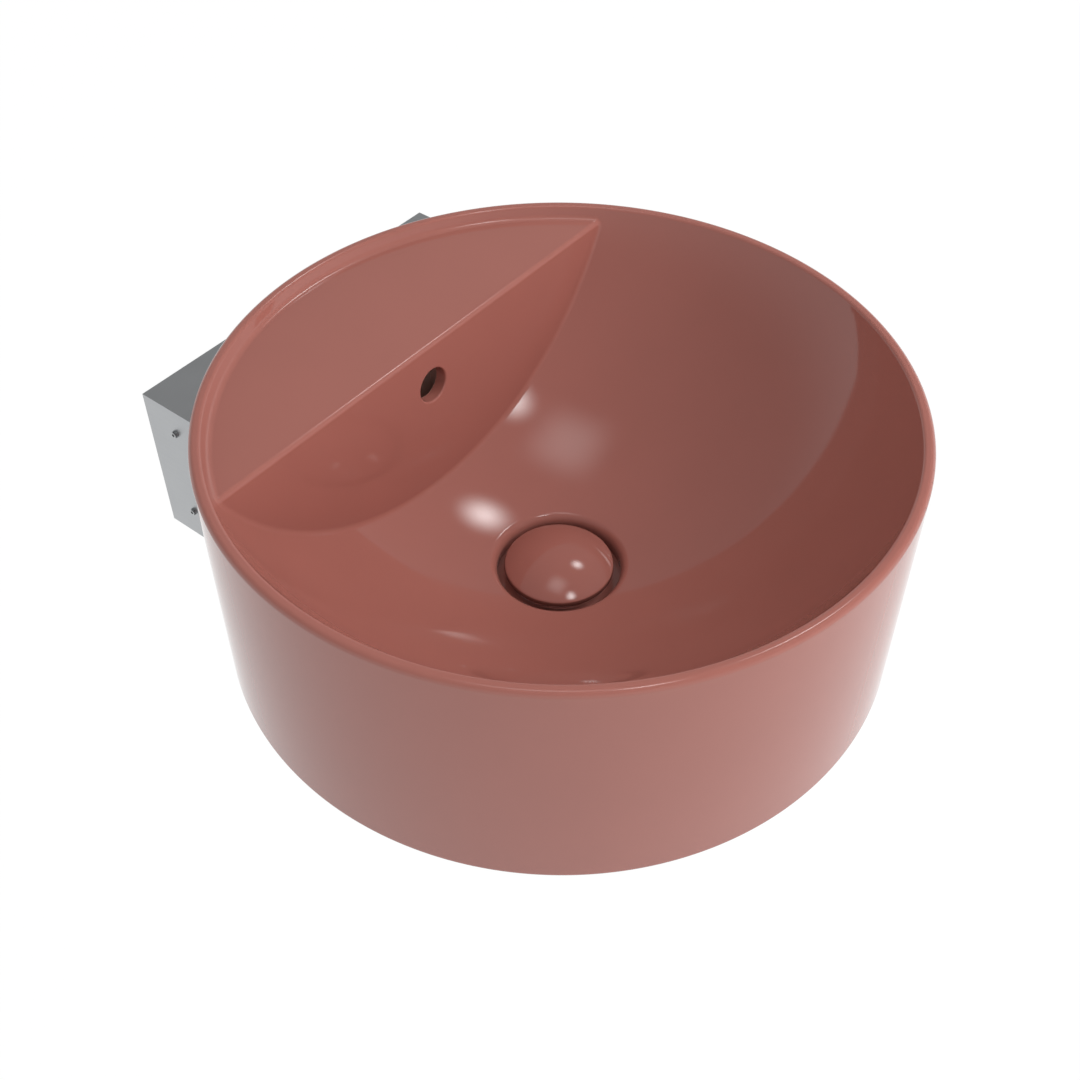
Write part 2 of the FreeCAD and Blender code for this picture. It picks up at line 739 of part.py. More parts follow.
PIECES = [
    basin_body, bracket_shell, wall_frame, lock_screws, lock_nuts, basin_bolts, bolt_washers,
    bolt_inserts, bracket_pads, waste_body, flange_seal, cone_seal, slip_washer, back_nut,
    clicker_barrel, clicker_bush, clicker_stem, latch_ring, clicker_spring, stem_lock_nut,
    plug_carrier, plug_seal, cover_bond_pad, drain_cover,
]

os.makedirs("parts", exist_ok=True)
for piece in PIECES:
    solid = piece()
    solid.exportStep("parts/" + piece.__name__ + ".step")
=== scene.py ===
"""Wall hung round basin: the looks of each piece, and the studio that shows it.

Laid out as an add-on: each group of pieces has an operator, sizes and colours are properties,
and main() calls the operators in order. All places are in metres, in the frame of the
construction: the wall is the plane y = 0, +Z is up and the basin reaches out towards -Y.
"""

import json
import math

import bmesh
import bpy
import numpy as np
from mathutils import Matrix, Quaternion, Vector


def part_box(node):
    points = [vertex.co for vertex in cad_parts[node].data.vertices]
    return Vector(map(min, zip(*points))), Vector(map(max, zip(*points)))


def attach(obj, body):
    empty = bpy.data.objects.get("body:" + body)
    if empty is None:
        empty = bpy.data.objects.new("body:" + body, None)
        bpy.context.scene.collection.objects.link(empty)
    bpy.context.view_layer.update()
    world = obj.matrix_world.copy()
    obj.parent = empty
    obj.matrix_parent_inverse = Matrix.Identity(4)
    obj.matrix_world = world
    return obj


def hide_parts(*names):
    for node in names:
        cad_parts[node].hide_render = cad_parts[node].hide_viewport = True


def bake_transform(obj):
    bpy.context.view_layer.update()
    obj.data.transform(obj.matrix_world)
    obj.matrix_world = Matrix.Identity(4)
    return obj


bl_info = {
    "name": "Wall hung basin",
    "version": (1, 0, 0),
    "blender": (4, 5, 0),
    "location": "3D View > Sidebar > Basin",
    "description": "Glazed basin, its waste, its steel bracket and a plain studio",
    "category": "Object",
}

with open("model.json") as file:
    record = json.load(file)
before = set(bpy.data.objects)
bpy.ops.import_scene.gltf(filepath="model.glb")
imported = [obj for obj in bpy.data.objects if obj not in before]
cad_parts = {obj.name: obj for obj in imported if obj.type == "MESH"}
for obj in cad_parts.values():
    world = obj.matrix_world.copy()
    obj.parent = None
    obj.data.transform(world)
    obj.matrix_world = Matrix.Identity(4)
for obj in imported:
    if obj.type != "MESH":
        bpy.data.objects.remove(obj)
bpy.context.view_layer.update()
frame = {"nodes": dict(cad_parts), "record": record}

MM = 0.001
UP = (0, 0, 1)
BODY_LOW, BODY_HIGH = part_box("basin_body")
AXIS_Y = (BODY_LOW.y + BODY_HIGH.y) / 2
RIM_Z = BODY_HIGH.z
FOOT_Z = BODY_LOW.z
BODY_RADIUS = (BODY_HIGH.x - BODY_LOW.x) / 2
ROOT, PLUG = "root", "plug"      # the bodies of the frame: what stays, and what the push lifts


# --- Colours ---

def linear(hex_colour):
    """An sRGB hex colour as linear red, green, blue and alpha."""
    channels = [int(hex_colour[i:i + 2], 16) / 255 for i in (0, 2, 4)]
    linear_channels = [c / 12.92 if c <= 0.04045 else ((c + 0.055) / 1.055) ** 2.4 for c in channels]
    return (*linear_channels, 1.0)


# --- What a user may change ---

def length(name, description, millimetres):
    """A length that a user may change, from its default in millimetres."""
    return bpy.props.FloatProperty(
        name=name, description=description, default=millimetres * MM, unit="LENGTH", min=0.0)


def colour(name, description, hex_colour):
    """A colour that a user may change, from its default as an sRGB hex colour."""
    return bpy.props.FloatVectorProperty(
        name=name, description=description, default=linear(hex_colour), size=4,
        subtype="COLOR", min=0.0, max=1.0)


class BasinSizes(bpy.types.PropertyGroup):
    """Sizes of the ceramic and its fittings that the frame's boxes don't give."""

    rim_outer_round: length("Rim outer round", "Radius of the rim's outer edge", 3.6)
    rim_inner_round: length("Rim inner round", "Radius of the rim's inner edge", 2.6)
    rim_flat: length("Rim flat", "Level top of the rim between its rounded edges", 0.6)
    foot_round: length("Foot round", "Radius of the foot's outer edge", 4.0)
    bowl_depth: length("Bowl depth", "Rim to the lowest point of the bowl's sphere", 134.4)
    ceramic_wall: length("Ceramic wall", "Thickness of the bowl and of the skirt", 8.0)
    deck_drop: length("Deck drop", "Deck surface below the rim", 7.7)
    deck_setback: length("Deck setback", "Bowl's axis to the deck's front edge", 100.5)
    deck_edge_round: length("Deck edge round", "Radius of the deck's front edge", 3.1)
    deck_fillet: length("Deck fillet", "Radius where the deck and its front wall meet the bowl", 4.5)
    deck_face_draft: bpy.props.FloatProperty(
        name="Deck face draft", description="Lean of the wall below the deck's front edge",
        default=math.radians(2.9), subtype="ANGLE")
    overflow_diameter: length("Overflow hole", "Diameter of the overflow hole", 23.0)
    overflow_drop: length("Overflow drop", "Overflow hole's centre below the rim", 37.4)
    channel_width: length("Channel width", "Width of the overflow channel", 39.0)
    channel_depth: length("Channel depth", "Depth of the overflow channel", 14.0)
    channel_headroom: length("Channel headroom", "Channel's roof above the overflow hole", 4.0)
    overflow_lip: length("Overflow lip", "Radius of the overflow hole's edge", 1.2)
    recess_diameter: length("Drain recess", "Diameter of the recess for the drain cover", 78.6)
    recess_round: length("Recess round", "Radius of the recess's edge", 6.5)
    seat_wall: length("Seat wall", "Ceramic round the recess", 9.0)
    cover_dome: length("Cover dome", "Radius of the drain cover's dome", 65.0)
    cover_round: length("Cover round", "Radius of the drain cover's upper edge", 2.6)
    cover_foot_round: length("Cover foot", "Radius of the drain cover's lower edge", 0.9)
    cover_pocket: length("Cover pocket", "Diameter of the pocket for the carrier", 54.6)
    cover_pocket_depth: length("Pocket depth", "Depth of that pocket", 3.3)
    waste_thread: length("Waste thread", "Outer diameter of the waste's pipe thread", 41.9)
    waste_bore: length("Waste bore", "Bore of the waste", 37.0)
    flange_round: length("Flange round", "Radius of the waste flange's upper edge", 1.2)
    flange_thickness: length("Flange thickness", "Thickness of the waste's flange", 2.5)
    thread_pitch: length("Thread pitch", "Pitch of the waste's pipe thread", 2.309)
    thread_depth: length("Thread depth", "Depth of the waste's pipe thread", 0.9)
    seal_bore_play: length("Seal play", "Rings round the waste's thread, on the radius", 0.3)
    edge_break: length("Edge break", "Broken edges of turned and moulded pieces", 0.4)
    sheet_edge_round: length("Sheet edge", "Softened edges of the steel sheet", 0.35)


class BasinFinishes(bpy.types.PropertyGroup):
    """Colours of the finishes."""

    glaze: colour("Glaze", "Terracotta glaze on the china", "A06359")
    biscuit: colour("Unglazed china", "Bare fired clay in the overflow channel", "C9A79C")
    steel: colour("Bracket steel", "Brushed stainless sheet", "B1B3B5")
    screw: colour("Screw steel", "Zinc plated steel of the locking screws", "B4B6B8")
    zinc: colour("Zinc plate", "Bright zinc on nuts, bolts and washers", "C3C5C8")
    brass: colour("Brass", "Turned brass", "C9A55F")
    chrome: colour("Chrome", "Polished chrome on brass", "DCDEE0")
    rubber: colour("Rubber", "Black seals and pads", "232325")
    acetal: colour("Acetal", "White moulded plastic", "E4E3DE")
    backdrop: colour("Backdrop", "Floor and background", "FFFFFF")


def sizes():
    """The sizes as they are set now."""
    return bpy.context.scene.basin_sizes


def finishes():
    """The colours as they are set now."""
    return bpy.context.scene.basin_finishes


# --- Materials ---

PAST_WALL = 0.2                  # how far a mask reaches past the walls that it covers, in mm
COVER_SIDE_PAINTED_SHADE = 0.42              # painted shade: how dark the glaze is drawn on the drain cover's upright side, in its gap
PAINTED_SHADE_START, PAINTED_SHADE_FULL = 0.6, 0.2    # mm inside the cover's side, where its painted shade starts and where it is full
BARE_ROUGHNESS = 0.75            # of the unglazed channel


def add(tree, kind, inputs=None, **settings):
    """A node with its settings, its input values and its links, which are given as sockets."""
    node = tree.nodes.new(kind)
    for name, value in settings.items():
        setattr(node, name, value)
    for name, value in (inputs or {}).items():
        if isinstance(value, bpy.types.NodeSocket):
            tree.links.new(value, node.inputs[name])
        else:
            node.inputs[name].default_value = value
    return node


def empty_tree(owner):
    """The node tree of a material, a lamp or the world, emptied."""
    owner.use_nodes = True
    owner.node_tree.nodes.clear()
    return owner.node_tree


def blank_material(name):
    """A material, its empty tree, and a vector of the piece's own place in millimetres."""
    material = bpy.data.materials.new(name)
    tree = empty_tree(material)
    place = add(tree, "ShaderNodeTexCoord").outputs["Object"]
    scaled = add(tree, "ShaderNodeVectorMath", {0: place, "Scale": 1 / MM}, operation="SCALE")
    return material, tree, scaled.outputs["Vector"]


def coated(material, tree, inputs):
    """Ends a material in one surface with these inputs."""
    surface = add(tree, "ShaderNodeBsdfPrincipled", inputs)
    add(tree, "ShaderNodeOutputMaterial", {"Surface": surface.outputs["BSDF"]})
    return material


def vector(tree, operation, first, second=(0.0, 0.0, 0.0)):
    """The result of a vector operation, which is a number for a length or a dot product."""
    node = add(tree, "ShaderNodeVectorMath", {0: first, 1: second}, operation=operation)
    return node.outputs["Value" if operation in ("LENGTH", "DOT_PRODUCT") else "Vector"]


def noise(tree, place, size, detail, roughness=0.5):
    """A pattern of noise whose features have this size in millimetres."""
    return add(tree, "ShaderNodeTexNoise", {"Vector": place, "Scale": 1 / size, "Detail": detail,
                                            "Roughness": roughness}).outputs["Fac"]


def spread(tree, pattern, low, high, start=0.3, end=0.7):
    """A pattern's middle range, or the one given, spread over a range of values."""
    return add(tree, "ShaderNodeMapRange", {"Value": pattern, "From Min": start, "From Max": end,
                                            "To Min": low, "To Max": high}).outputs["Result"]


def blended(tree, share, first, second):
    """A colour that goes from the first to the second with a share."""
    return add(tree, "ShaderNodeMix", {"Factor": share, "A": first, "B": second},
               data_type="RGBA").outputs["Result"]


def bumped(tree, pattern, strength, depth):
    """Normals with a pattern as a fine relief, its depth in millimetres."""
    return add(tree, "ShaderNodeBump", {"Height": pattern, "Strength": strength,
                                        "Distance": depth * MM}).outputs["Normal"]


def shade_of(rgba, factor):
    """A colour made lighter or darker."""
    return tuple(min(1.0, c * factor) for c in rgba[:3]) + (1.0,)


def between(tree, value, low, high):
    """1 where a value lies between two levels, and 0 elsewhere."""
    return add(tree, "ShaderNodeMath", {0: value, 1: (low + high) / 2, 2: (high - low) / 2},
               operation="COMPARE").outputs[0]


def both(tree, first, second):
    """The product of two shares: where both hold."""
    return add(tree, "ShaderNodeMath", {0: first, 1: second}, operation="MULTIPLY").outputs[0]


def in_channel(tree, place):
    """Where the glaze doesn't reach: inside the overflow channel, behind the wall of its hole."""
    s = sizes()
    face = (0.0, (AXIS_Y + s.deck_setback) / MM, (RIM_Z - s.deck_drop) / MM)
    backward = (0.0, math.cos(s.deck_face_draft), -math.sin(s.deck_face_draft))
    behind = vector(tree, "DOT_PRODUCT", vector(tree, "SUBTRACT", place, face), backward)
    axes = add(tree, "ShaderNodeSeparateXYZ", {"Vector": place}).outputs
    wall, depth = s.ceramic_wall / MM, s.channel_depth / MM
    half = s.channel_width / 2 / MM + PAST_WALL
    across = both(tree, between(tree, behind, wall - PAST_WALL / 2, wall + depth + PAST_WALL),
                  between(tree, axes["X"], -half, half))
    roof = (RIM_Z - s.overflow_drop + s.overflow_diameter / 2 + s.channel_headroom) / MM
    foot = (FOOT_Z + s.foot_round) / MM
    return both(tree, across, between(tree, axes["Z"], foot, roof + PAST_WALL))


def on_cover_side(tree, place):
    """Where shade is painted into the glaze: on the upright side of the drain cover, down in its
    gap.
    """
    low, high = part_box("drain_cover")
    from_axis = vector(tree, "SUBTRACT", place, (0.0, AXIS_Y / MM, 0.0))
    radius = vector(tree, "LENGTH", vector(tree, "MULTIPLY", from_axis, (1.0, 1.0, 0.0)))
    outer = high.x / MM
    near = spread(tree, radius, 0.0, 1.0, outer - PAINTED_SHADE_START, outer - PAINTED_SHADE_FULL)
    beside = both(tree, near, between(tree, radius, outer - PAINTED_SHADE_START, outer + PAINTED_SHADE_FULL))
    level = add(tree, "ShaderNodeSeparateXYZ", {"Vector": place}).outputs["Z"]
    return both(tree, beside, between(tree, level, low.z / MM - PAST_WALL / 2, high.z / MM))


def glazed_vitreous_china(name, rgba, bare_rgba):
    """Vitreous china under a fired gloss glaze: an even colour that thins a little in clouds a
    few centimetres wide, a mirror-like top coat, and a faint orange peel from the melt. Shade is
    painted into it on the upright side of the drain cover, and the overflow channel stays bare."""
    material, tree, place = blank_material(name)
    clouds = noise(tree, place, 55, 3.0)
    fleck = spread(tree, noise(tree, place, 0.9, 2.0, 0.7), 0.0, 0.05, 0.62, 0.75)
    colours = blended(tree, clouds, shade_of(rgba, 0.965), shade_of(rgba, 1.035))
    colours = blended(tree, fleck, colours, shade_of(rgba, 0.7))
    # painted shade: the cover's upright side, down in the gap, is drawn darker than the glaze
    colours = blended(tree, on_cover_side(tree, place), colours, shade_of(rgba, COVER_SIDE_PAINTED_SHADE))
    bare = in_channel(tree, place)
    rough = add(tree, "ShaderNodeMix", {"Factor": bare, "A": spread(tree, clouds, 0.04, 0.06),
                                        "B": BARE_ROUGHNESS})
    return coated(material, tree, {
        "Base Color": blended(tree, bare, colours, tuple(bare_rgba)), "IOR": 1.5,
        "Roughness": rough.outputs["Result"],
        "Normal": bumped(tree, noise(tree, place, 14, 1.0), 0.05, 0.15)})


def brushed_stainless_steel(name, rgba, grain_width, grain_length):
    """Cold-rolled stainless sheet with a fine brushed grain along the sheet: soft streaks that
    blur what it reflects, with a slight change of tone from streak to streak."""
    material, tree, place = blank_material(name)
    along, across = 1 / grain_length, 1 / grain_width
    grain = noise(tree, vector(tree, "MULTIPLY", place, (along, along, across)), 1, 4.0, 0.6)
    return coated(material, tree, {
        "Base Color": blended(tree, grain, shade_of(rgba, 0.93), shade_of(rgba, 1.06)),
        "Metallic": 1.0, "Roughness": spread(tree, noise(tree, place, 40, 2.0), 0.36, 0.44),
        "Normal": bumped(tree, grain, 0.12, 0.02)})


def turned_metal(name, rgba, roughness, ring_pitch):
    """Metal turned on a lathe: fine rings round the piece, seen as a faint drag in its gloss."""
    material, tree, place = blank_material(name)
    rings = noise(tree, vector(tree, "MULTIPLY", place, (0.0, 0.0, 1 / ring_pitch)), 1, 2.0)
    handling = noise(tree, place, 8, 3.0)
    return coated(material, tree, {
        "Base Color": blended(tree, handling, shade_of(rgba, 0.92), shade_of(rgba, 1.04)),
        "Metallic": 1.0, "Roughness": spread(tree, handling, roughness * 0.8, roughness * 1.25),
        "Normal": bumped(tree, rings, 0.1, 0.01)})


def moulded_polymer(name, rgba, roughness, grain, ior):
    """Rubber or plastic from a mould: an even colour with a fine spark-eroded grain that keeps
    its highlights broad and soft."""
    material, tree, place = blank_material(name)
    skin = noise(tree, place, grain, 3.0)
    return coated(material, tree, {
        "Base Color": blended(tree, skin, shade_of(rgba, 0.9), shade_of(rgba, 1.1)),
        "IOR": ior, "Roughness": roughness, "Normal": bumped(tree, skin, 0.25, 0.03)})


def make_materials():
    """Every finish by its slot in the record. The steel sheet's grain has a width and a length
    in millimetres. The others have a roughness and then the size of their pattern in
    millimetres, the lathe's rings or the mould's grain, and polymers have their IOR."""
    look = finishes()
    return {
        "glazed_ceramic": glazed_vitreous_china("glazed vitreous china", look.glaze, look.biscuit),
        "bracket_steel": brushed_stainless_steel("brushed stainless sheet", look.steel, 0.5, 50),
        "screw_steel": turned_metal("zinc plated set screw steel", look.screw, 0.34, 0.2),
        "fastener_steel": turned_metal("bright zinc plated steel", look.zinc, 0.32, 0.2),
        "brass": turned_metal("turned brass", look.brass, 0.28, 0.15),
        "chromed_brass": turned_metal("chromed brass", look.chrome, 0.1, 0.15),
        "seal_rubber": moulded_polymer("moulded EPDM rubber", look.rubber, 0.6, 0.4, 1.52),
        "white_acetal": moulded_polymer("moulded acetal", look.acetal, 0.38, 0.6, 1.48),
        "bond_foam": moulded_polymer("bonding foam", look.acetal, 0.85, 0.8, 1.45),
    }


def finish_of(slot_name):
    """The material of a slot, made once."""
    made = bpy.context.scene.get("basin_materials")
    if made is None:
        made = {slot: material.name for slot, material in make_materials().items()}
        bpy.context.scene["basin_materials"] = made
    return bpy.data.materials[made[slot_name]]


# --- True surfaces: each takes points and gives their distance to it and its outward normals ---

NEARLY_PARALLEL = 0.995          # cosine between two surfaces' normals that count as the same
ROLL_STEPS, EDGE_STEPS, SNAP_STEPS = 6, 3, 4    # rounds of moving points onto two surfaces


def unit(vectors):
    """Vectors of length one."""
    return vectors / np.maximum(np.linalg.norm(vectors, axis=-1, keepdims=True), 1e-12)


def flat_surface(point, normal):
    """A plane."""
    point = np.array(point)
    normal = unit(np.array(normal, float))
    return lambda p: ((p - point) @ normal, np.broadcast_to(normal, p.shape))


def ball_surface(centre, radius, hollow=False):
    """A sphere, seen from inside where it is hollow."""
    centre = np.array(centre)
    sign = -1.0 if hollow else 1.0

    def surface(p):
        away = p - centre
        return sign * (np.linalg.norm(away, axis=1) - radius), sign * unit(away)

    return surface


def pillar_surface(origin, axis, radius, hollow=False):
    """A cylinder's wall, seen from inside where it is hollow."""
    origin = np.array(origin)
    axis = unit(np.array(axis, float))
    sign = -1.0 if hollow else 1.0

    def surface(p):
        away = p - origin
        away = away - np.outer(away @ axis, axis)
        return sign * (np.linalg.norm(away, axis=1) - radius), sign * unit(away)

    return surface


def hoop_surface(centre, axis, hoop_radius, tube_radius):
    """A torus: the rounded edge between two surfaces of revolution."""
    centre = np.array(centre)
    axis = unit(np.array(axis, float))

    def surface(p):
        away = p - centre
        across = unit(away - np.outer(away @ axis, axis))
        from_tube = away - across * hoop_radius
        return np.linalg.norm(from_tube, axis=1) - tube_radius, unit(from_tube)

    return surface


def rolled_surface(first, second, radius):
    """The fillet that a ball leaves when it rolls along the corner of two surfaces."""

    def surface(p):
        middle = p.copy()
        for _ in range(ROLL_STEPS):
            to_first, normal_first = first(middle)
            to_second, normal_second = second(middle)
            along = unit(np.cross(normal_first, normal_second))
            middle = middle + along * np.sum(along * (p - middle), axis=1, keepdims=True)
            middle = middle + pulled_to(
                radius - to_first, normal_first, radius - to_second, normal_second)
        inward = middle - p
        return radius - np.linalg.norm(inward, axis=1), unit(inward)

    return surface


def pulled_to(miss_a, normal_a, miss_b, normal_b):
    """The smallest move that brings points onto two surfaces that they miss by these amounts."""
    cosine = np.sum(normal_a * normal_b, axis=1)
    spread = np.maximum(1 - cosine ** 2, 1e-3)
    along_a = ((miss_a - cosine * miss_b) / spread)[:, None]
    along_b = ((miss_b - cosine * miss_a) / spread)[:, None]
    same = (np.abs(cosine) > NEARLY_PARALLEL)[:, None]
    apart = along_a * normal_a + along_b * normal_b
    together = ((miss_a + miss_b * np.sign(cosine)) / 2)[:, None] * normal_a
    return np.where(same, together, apart)


def deck_block(edge_round, top, face):
    """The deck and its front wall as one surface, with the rounded edge between them."""
    normals = [s(np.zeros((1, 3)))[1][0] for s in (top, face)]
    middle = edge_middle(edge_round, top, face)
    edge = pillar_surface(middle, (1, 0, 0), edge_round)

    def surface(p):
        from_edge = p - middle
        to_top, normal_top = top(p)
        to_face, normal_face = face(p)
        to_edge, normal_edge = edge(p)
        side_top = from_edge @ normals[0]
        side_face = from_edge @ normals[1]
        cosine = normals[0] @ normals[1]
        on_edge = (side_top - cosine * side_face > 0) & (side_face - cosine * side_top > 0)
        over_top = side_top > side_face
        distance = np.where(on_edge, to_edge, np.where(over_top, to_top, to_face))
        normal = np.where(on_edge[:, None], normal_edge,
                          np.where(over_top[:, None], normal_top, normal_face))
        return distance, normal

    return surface


def edge_middle(edge_round, top, face):
    """The point in the middle plane that lies the edge's radius below both surfaces."""
    point = np.array([[0.0, AXIS_Y, RIM_Z]])
    for _ in range(EDGE_STEPS):
        to_top, normal_top = top(point)
        to_face, normal_face = face(point)
        point = point + pulled_to(-edge_round - to_top, normal_top,
                                  -edge_round - to_face, normal_face)
    return point[0]


def body_surfaces():
    """The curved surfaces of the ceramic body, and the flat ones that a fillet rolls on."""
    s = sizes()
    bowl_mouth = BODY_RADIUS - s.rim_outer_round - s.rim_flat - s.rim_inner_round
    bowl_radius = (bowl_mouth ** 2 + s.bowl_depth ** 2) / (2 * s.bowl_depth)
    bowl_centre = (0, AXIS_Y, RIM_Z - s.bowl_depth + bowl_radius)
    lean = (0, -math.cos(s.deck_face_draft), math.sin(s.deck_face_draft))
    deck_edge = (0, AXIS_Y + s.deck_setback, RIM_Z - s.deck_drop)

    def on_axis(z):
        return (0, AXIS_Y, z)

    def behind_bowl(depth, level):
        """Radius of the circle on the sphere this far behind the bowl, at a level."""
        return math.sqrt((bowl_radius + depth) ** 2 - (bowl_centre[2] - level) ** 2)

    recess_radius = s.recess_diameter / 2
    recess_hoop = recess_radius + s.recess_round
    recess_level = bowl_centre[2] - math.sqrt((bowl_radius + s.recess_round) ** 2 - recess_hoop ** 2)
    bowl = ball_surface(bowl_centre, bowl_radius, hollow=True)
    deck_top = flat_surface(deck_edge, UP)
    deck_face = flat_surface(deck_edge, lean)
    block = deck_block(s.deck_edge_round, deck_top, deck_face)
    hole_z = RIM_Z - s.overflow_drop
    drop = RIM_Z - s.deck_drop - hole_z
    hole_centre = (0, deck_edge[1] - drop * math.tan(s.deck_face_draft), hole_z)
    lip_centre = np.array(hole_centre) - np.array(lean) * s.overflow_lip
    rim_inner_z = RIM_Z - s.rim_inner_round
    return {
        "rim top": flat_surface(on_axis(RIM_Z), UP),
        "deck top": deck_top,
        "deck face": deck_face,
        "outer wall": pillar_surface(on_axis(0), UP, BODY_RADIUS),
        "rim outer edge": hoop_surface(on_axis(RIM_Z - s.rim_outer_round), UP,
                                       BODY_RADIUS - s.rim_outer_round, s.rim_outer_round),
        "foot edge": hoop_surface(on_axis(FOOT_Z + s.foot_round), UP,
                                  BODY_RADIUS - s.foot_round, s.foot_round),
        "rim inner edge": hoop_surface(on_axis(rim_inner_z), UP,
                                       behind_bowl(s.rim_inner_round, rim_inner_z),
                                       s.rim_inner_round),
        "bowl": bowl,
        "bowl underside": ball_surface(bowl_centre, bowl_radius + s.ceramic_wall),
        "deck edge": pillar_surface(edge_middle(s.deck_edge_round, deck_top, deck_face),
                                    (1, 0, 0), s.deck_edge_round),
        "deck fillet": rolled_surface(block, bowl, s.deck_fillet),
        "recess edge": hoop_surface(on_axis(recess_level), UP, recess_hoop, s.recess_round),
        "recess wall": pillar_surface(on_axis(0), UP, recess_radius, hollow=True),
        "seat wall": pillar_surface(on_axis(0), UP, recess_radius + s.seat_wall),
        "skirt inside": pillar_surface(on_axis(0), UP, BODY_RADIUS - s.ceramic_wall, hollow=True),
        "overflow hole": pillar_surface(hole_centre, lean, s.overflow_diameter / 2, hollow=True),
        "overflow lip": hoop_surface(lip_centre, lean, s.overflow_diameter / 2 + s.overflow_lip,
                                     s.overflow_lip),
    }


# --- Rounding the facets of a copied node ---

MERGED = 1e-7                    # points nearer than this are one point
SLIVER_HEIGHT = 0.05 * MM        # a triangle lower than this counts as a sliver
FACING_ALIKE = 0.8               # least cosine between a facet and the surface it stands for


def merged_copy(node):
    """Points and triangles of a node's mesh, with the points that coincide merged."""
    mesh = bmesh.new()
    mesh.from_mesh(frame["nodes"][node].data)
    bmesh.ops.remove_doubles(mesh, verts=mesh.verts, dist=MERGED)
    bmesh.ops.triangulate(mesh, faces=mesh.faces)
    mesh.verts.index_update()
    points = np.array([v.co[:] for v in mesh.verts])
    triangles = np.array([[v.index for v in f.verts] for f in mesh.faces])
    mesh.free()
    return points, triangles


def facet_normals(points, triangles):
    """Each triangle's own normal."""
    a, b, c = (points[triangles[:, k]] for k in range(3))
    return unit(np.cross(b - a, c - a))


def surface_of_each(points, triangles, surfaces, tolerance=0.03 * MM):
    """For each triangle the index of the true surface that it approximates, or -1 if flat.

    A sliver's own normal says little, so it is taken by the surface that its corners lie on.
    """
    facing = facet_normals(points, triangles)
    corners = points[triangles]
    sides = np.linalg.norm(corners - np.roll(corners, 1, axis=1), axis=2)
    area = np.linalg.norm(np.cross(corners[:, 1] - corners[:, 0], corners[:, 2] - corners[:, 0]),
                          axis=1)
    sliver = area / sides.max(axis=1) < SLIVER_HEIGHT
    centre = corners.mean(axis=1)
    chosen = np.full(len(triangles), -1)
    least = np.full(len(triangles), tolerance)
    for index, surface in enumerate(surfaces):
        distance, _ = surface(points)
        worst = np.abs(distance[triangles]).max(axis=1)
        _, normal = surface(centre)
        aligned = np.sum(normal * facing, axis=1) > FACING_ALIKE
        better = (aligned | sliver) & (worst < least)
        chosen[better] = index
        least[better] = worst[better]
    return chosen


def snapped(points, sides, surfaces):
    """Points moved onto the surfaces on both sides of the edges that they halve.

    sides holds, for each of the two triangles beside an edge, the surface's index and, for a
    flat triangle, a point and the normal of its own plane.
    """
    for _ in range(SNAP_STEPS):
        (miss_a, normal_a), (miss_b, normal_b) = (misses(points, side, surfaces) for side in sides)
        points = points + pulled_to(-miss_a, normal_a, -miss_b, normal_b)
    return points


def misses(points, side, surfaces):
    """How far points are off the surfaces that they belong to, and those surfaces' normals."""
    indices, plane_points, plane_normals = side
    distance = np.sum((points - plane_points) * plane_normals, axis=1)
    normal = plane_normals.copy()
    for index, surface in enumerate(surfaces):
        mine = indices == index
        if mine.any():
            distance[mine], normal[mine] = surface(points[mine])
    return distance, normal


def edges_of(triangles):
    """Unique edges, the edges of each triangle, and the two triangles beside each edge."""
    corners = np.stack([triangles, np.roll(triangles, -1, axis=1)], axis=2).reshape(-1, 2)
    edges, inverse = np.unique(np.sort(corners, axis=1), axis=0, return_inverse=True)
    inverse = inverse.reshape(-1)
    owner = np.arange(len(inverse)) // 3
    order = np.argsort(inverse, kind="stable")
    first = order[np.searchsorted(inverse[order], np.arange(len(edges)))]
    last = order[np.searchsorted(inverse[order], np.arange(len(edges)), side="right") - 1]
    return edges, inverse.reshape(-1, 3), owner[first], owner[last]


def halved_once(points, triangles, owner, plane_point, plane_normal, surfaces, sag):
    """Halves each edge whose true surface bulges off it by more than sag."""
    edges, edge_of, left, right = edges_of(triangles)
    middle = points[edges].mean(axis=1)
    sides = [(owner[t], plane_point[t], plane_normal[t]) for t in (left, right)]
    target = snapped(middle, sides, surfaces)
    split = np.linalg.norm(target - middle, axis=1) > sag
    number = np.full(len(edges), -1)
    number[split] = len(points) + np.arange(split.sum())
    points = np.concatenate([points, target[split]])
    new = number[edge_of]
    pieces, parents = [], []
    for pattern in range(8):
        flags = np.array([pattern & 1, pattern & 2, pattern & 4]) > 0
        mine = np.where(((new >= 0) == flags).all(axis=1))[0]
        if len(mine) == 0:
            continue
        for cut in cuts_of(flags, triangles[mine], new[mine]):
            pieces.append(cut)
            parents.append(mine)
    parents = np.concatenate(parents)
    return points, np.concatenate(pieces), parents, bool(split.any())


def cuts_of(flags, corner, middle):
    """The triangles that one triangle falls into when the flagged edges are halved."""
    a, b, c = corner.T
    ab, bc, ca = middle.T
    count = flags.sum()
    if count == 0:
        return [corner]
    if count == 3:
        parts = [(a, ab, ca), (ab, b, bc), (ca, bc, c), (ab, bc, ca)]
    else:
        turn = {(1, 0, 0): 0, (0, 1, 0): 1, (0, 0, 1): 2,
                (1, 1, 0): 0, (0, 1, 1): 1, (1, 0, 1): 2}[tuple(flags.astype(int))]
        a, b, c = np.roll(corner, -turn, axis=1).T
        ab, bc, ca = np.roll(middle, -turn, axis=1).T
        parts = [(a, ab, c), (ab, b, c)] if count == 1 else [(ab, b, bc), (a, ab, bc), (a, bc, c)]
    return [np.stack(part, axis=1) for part in parts]


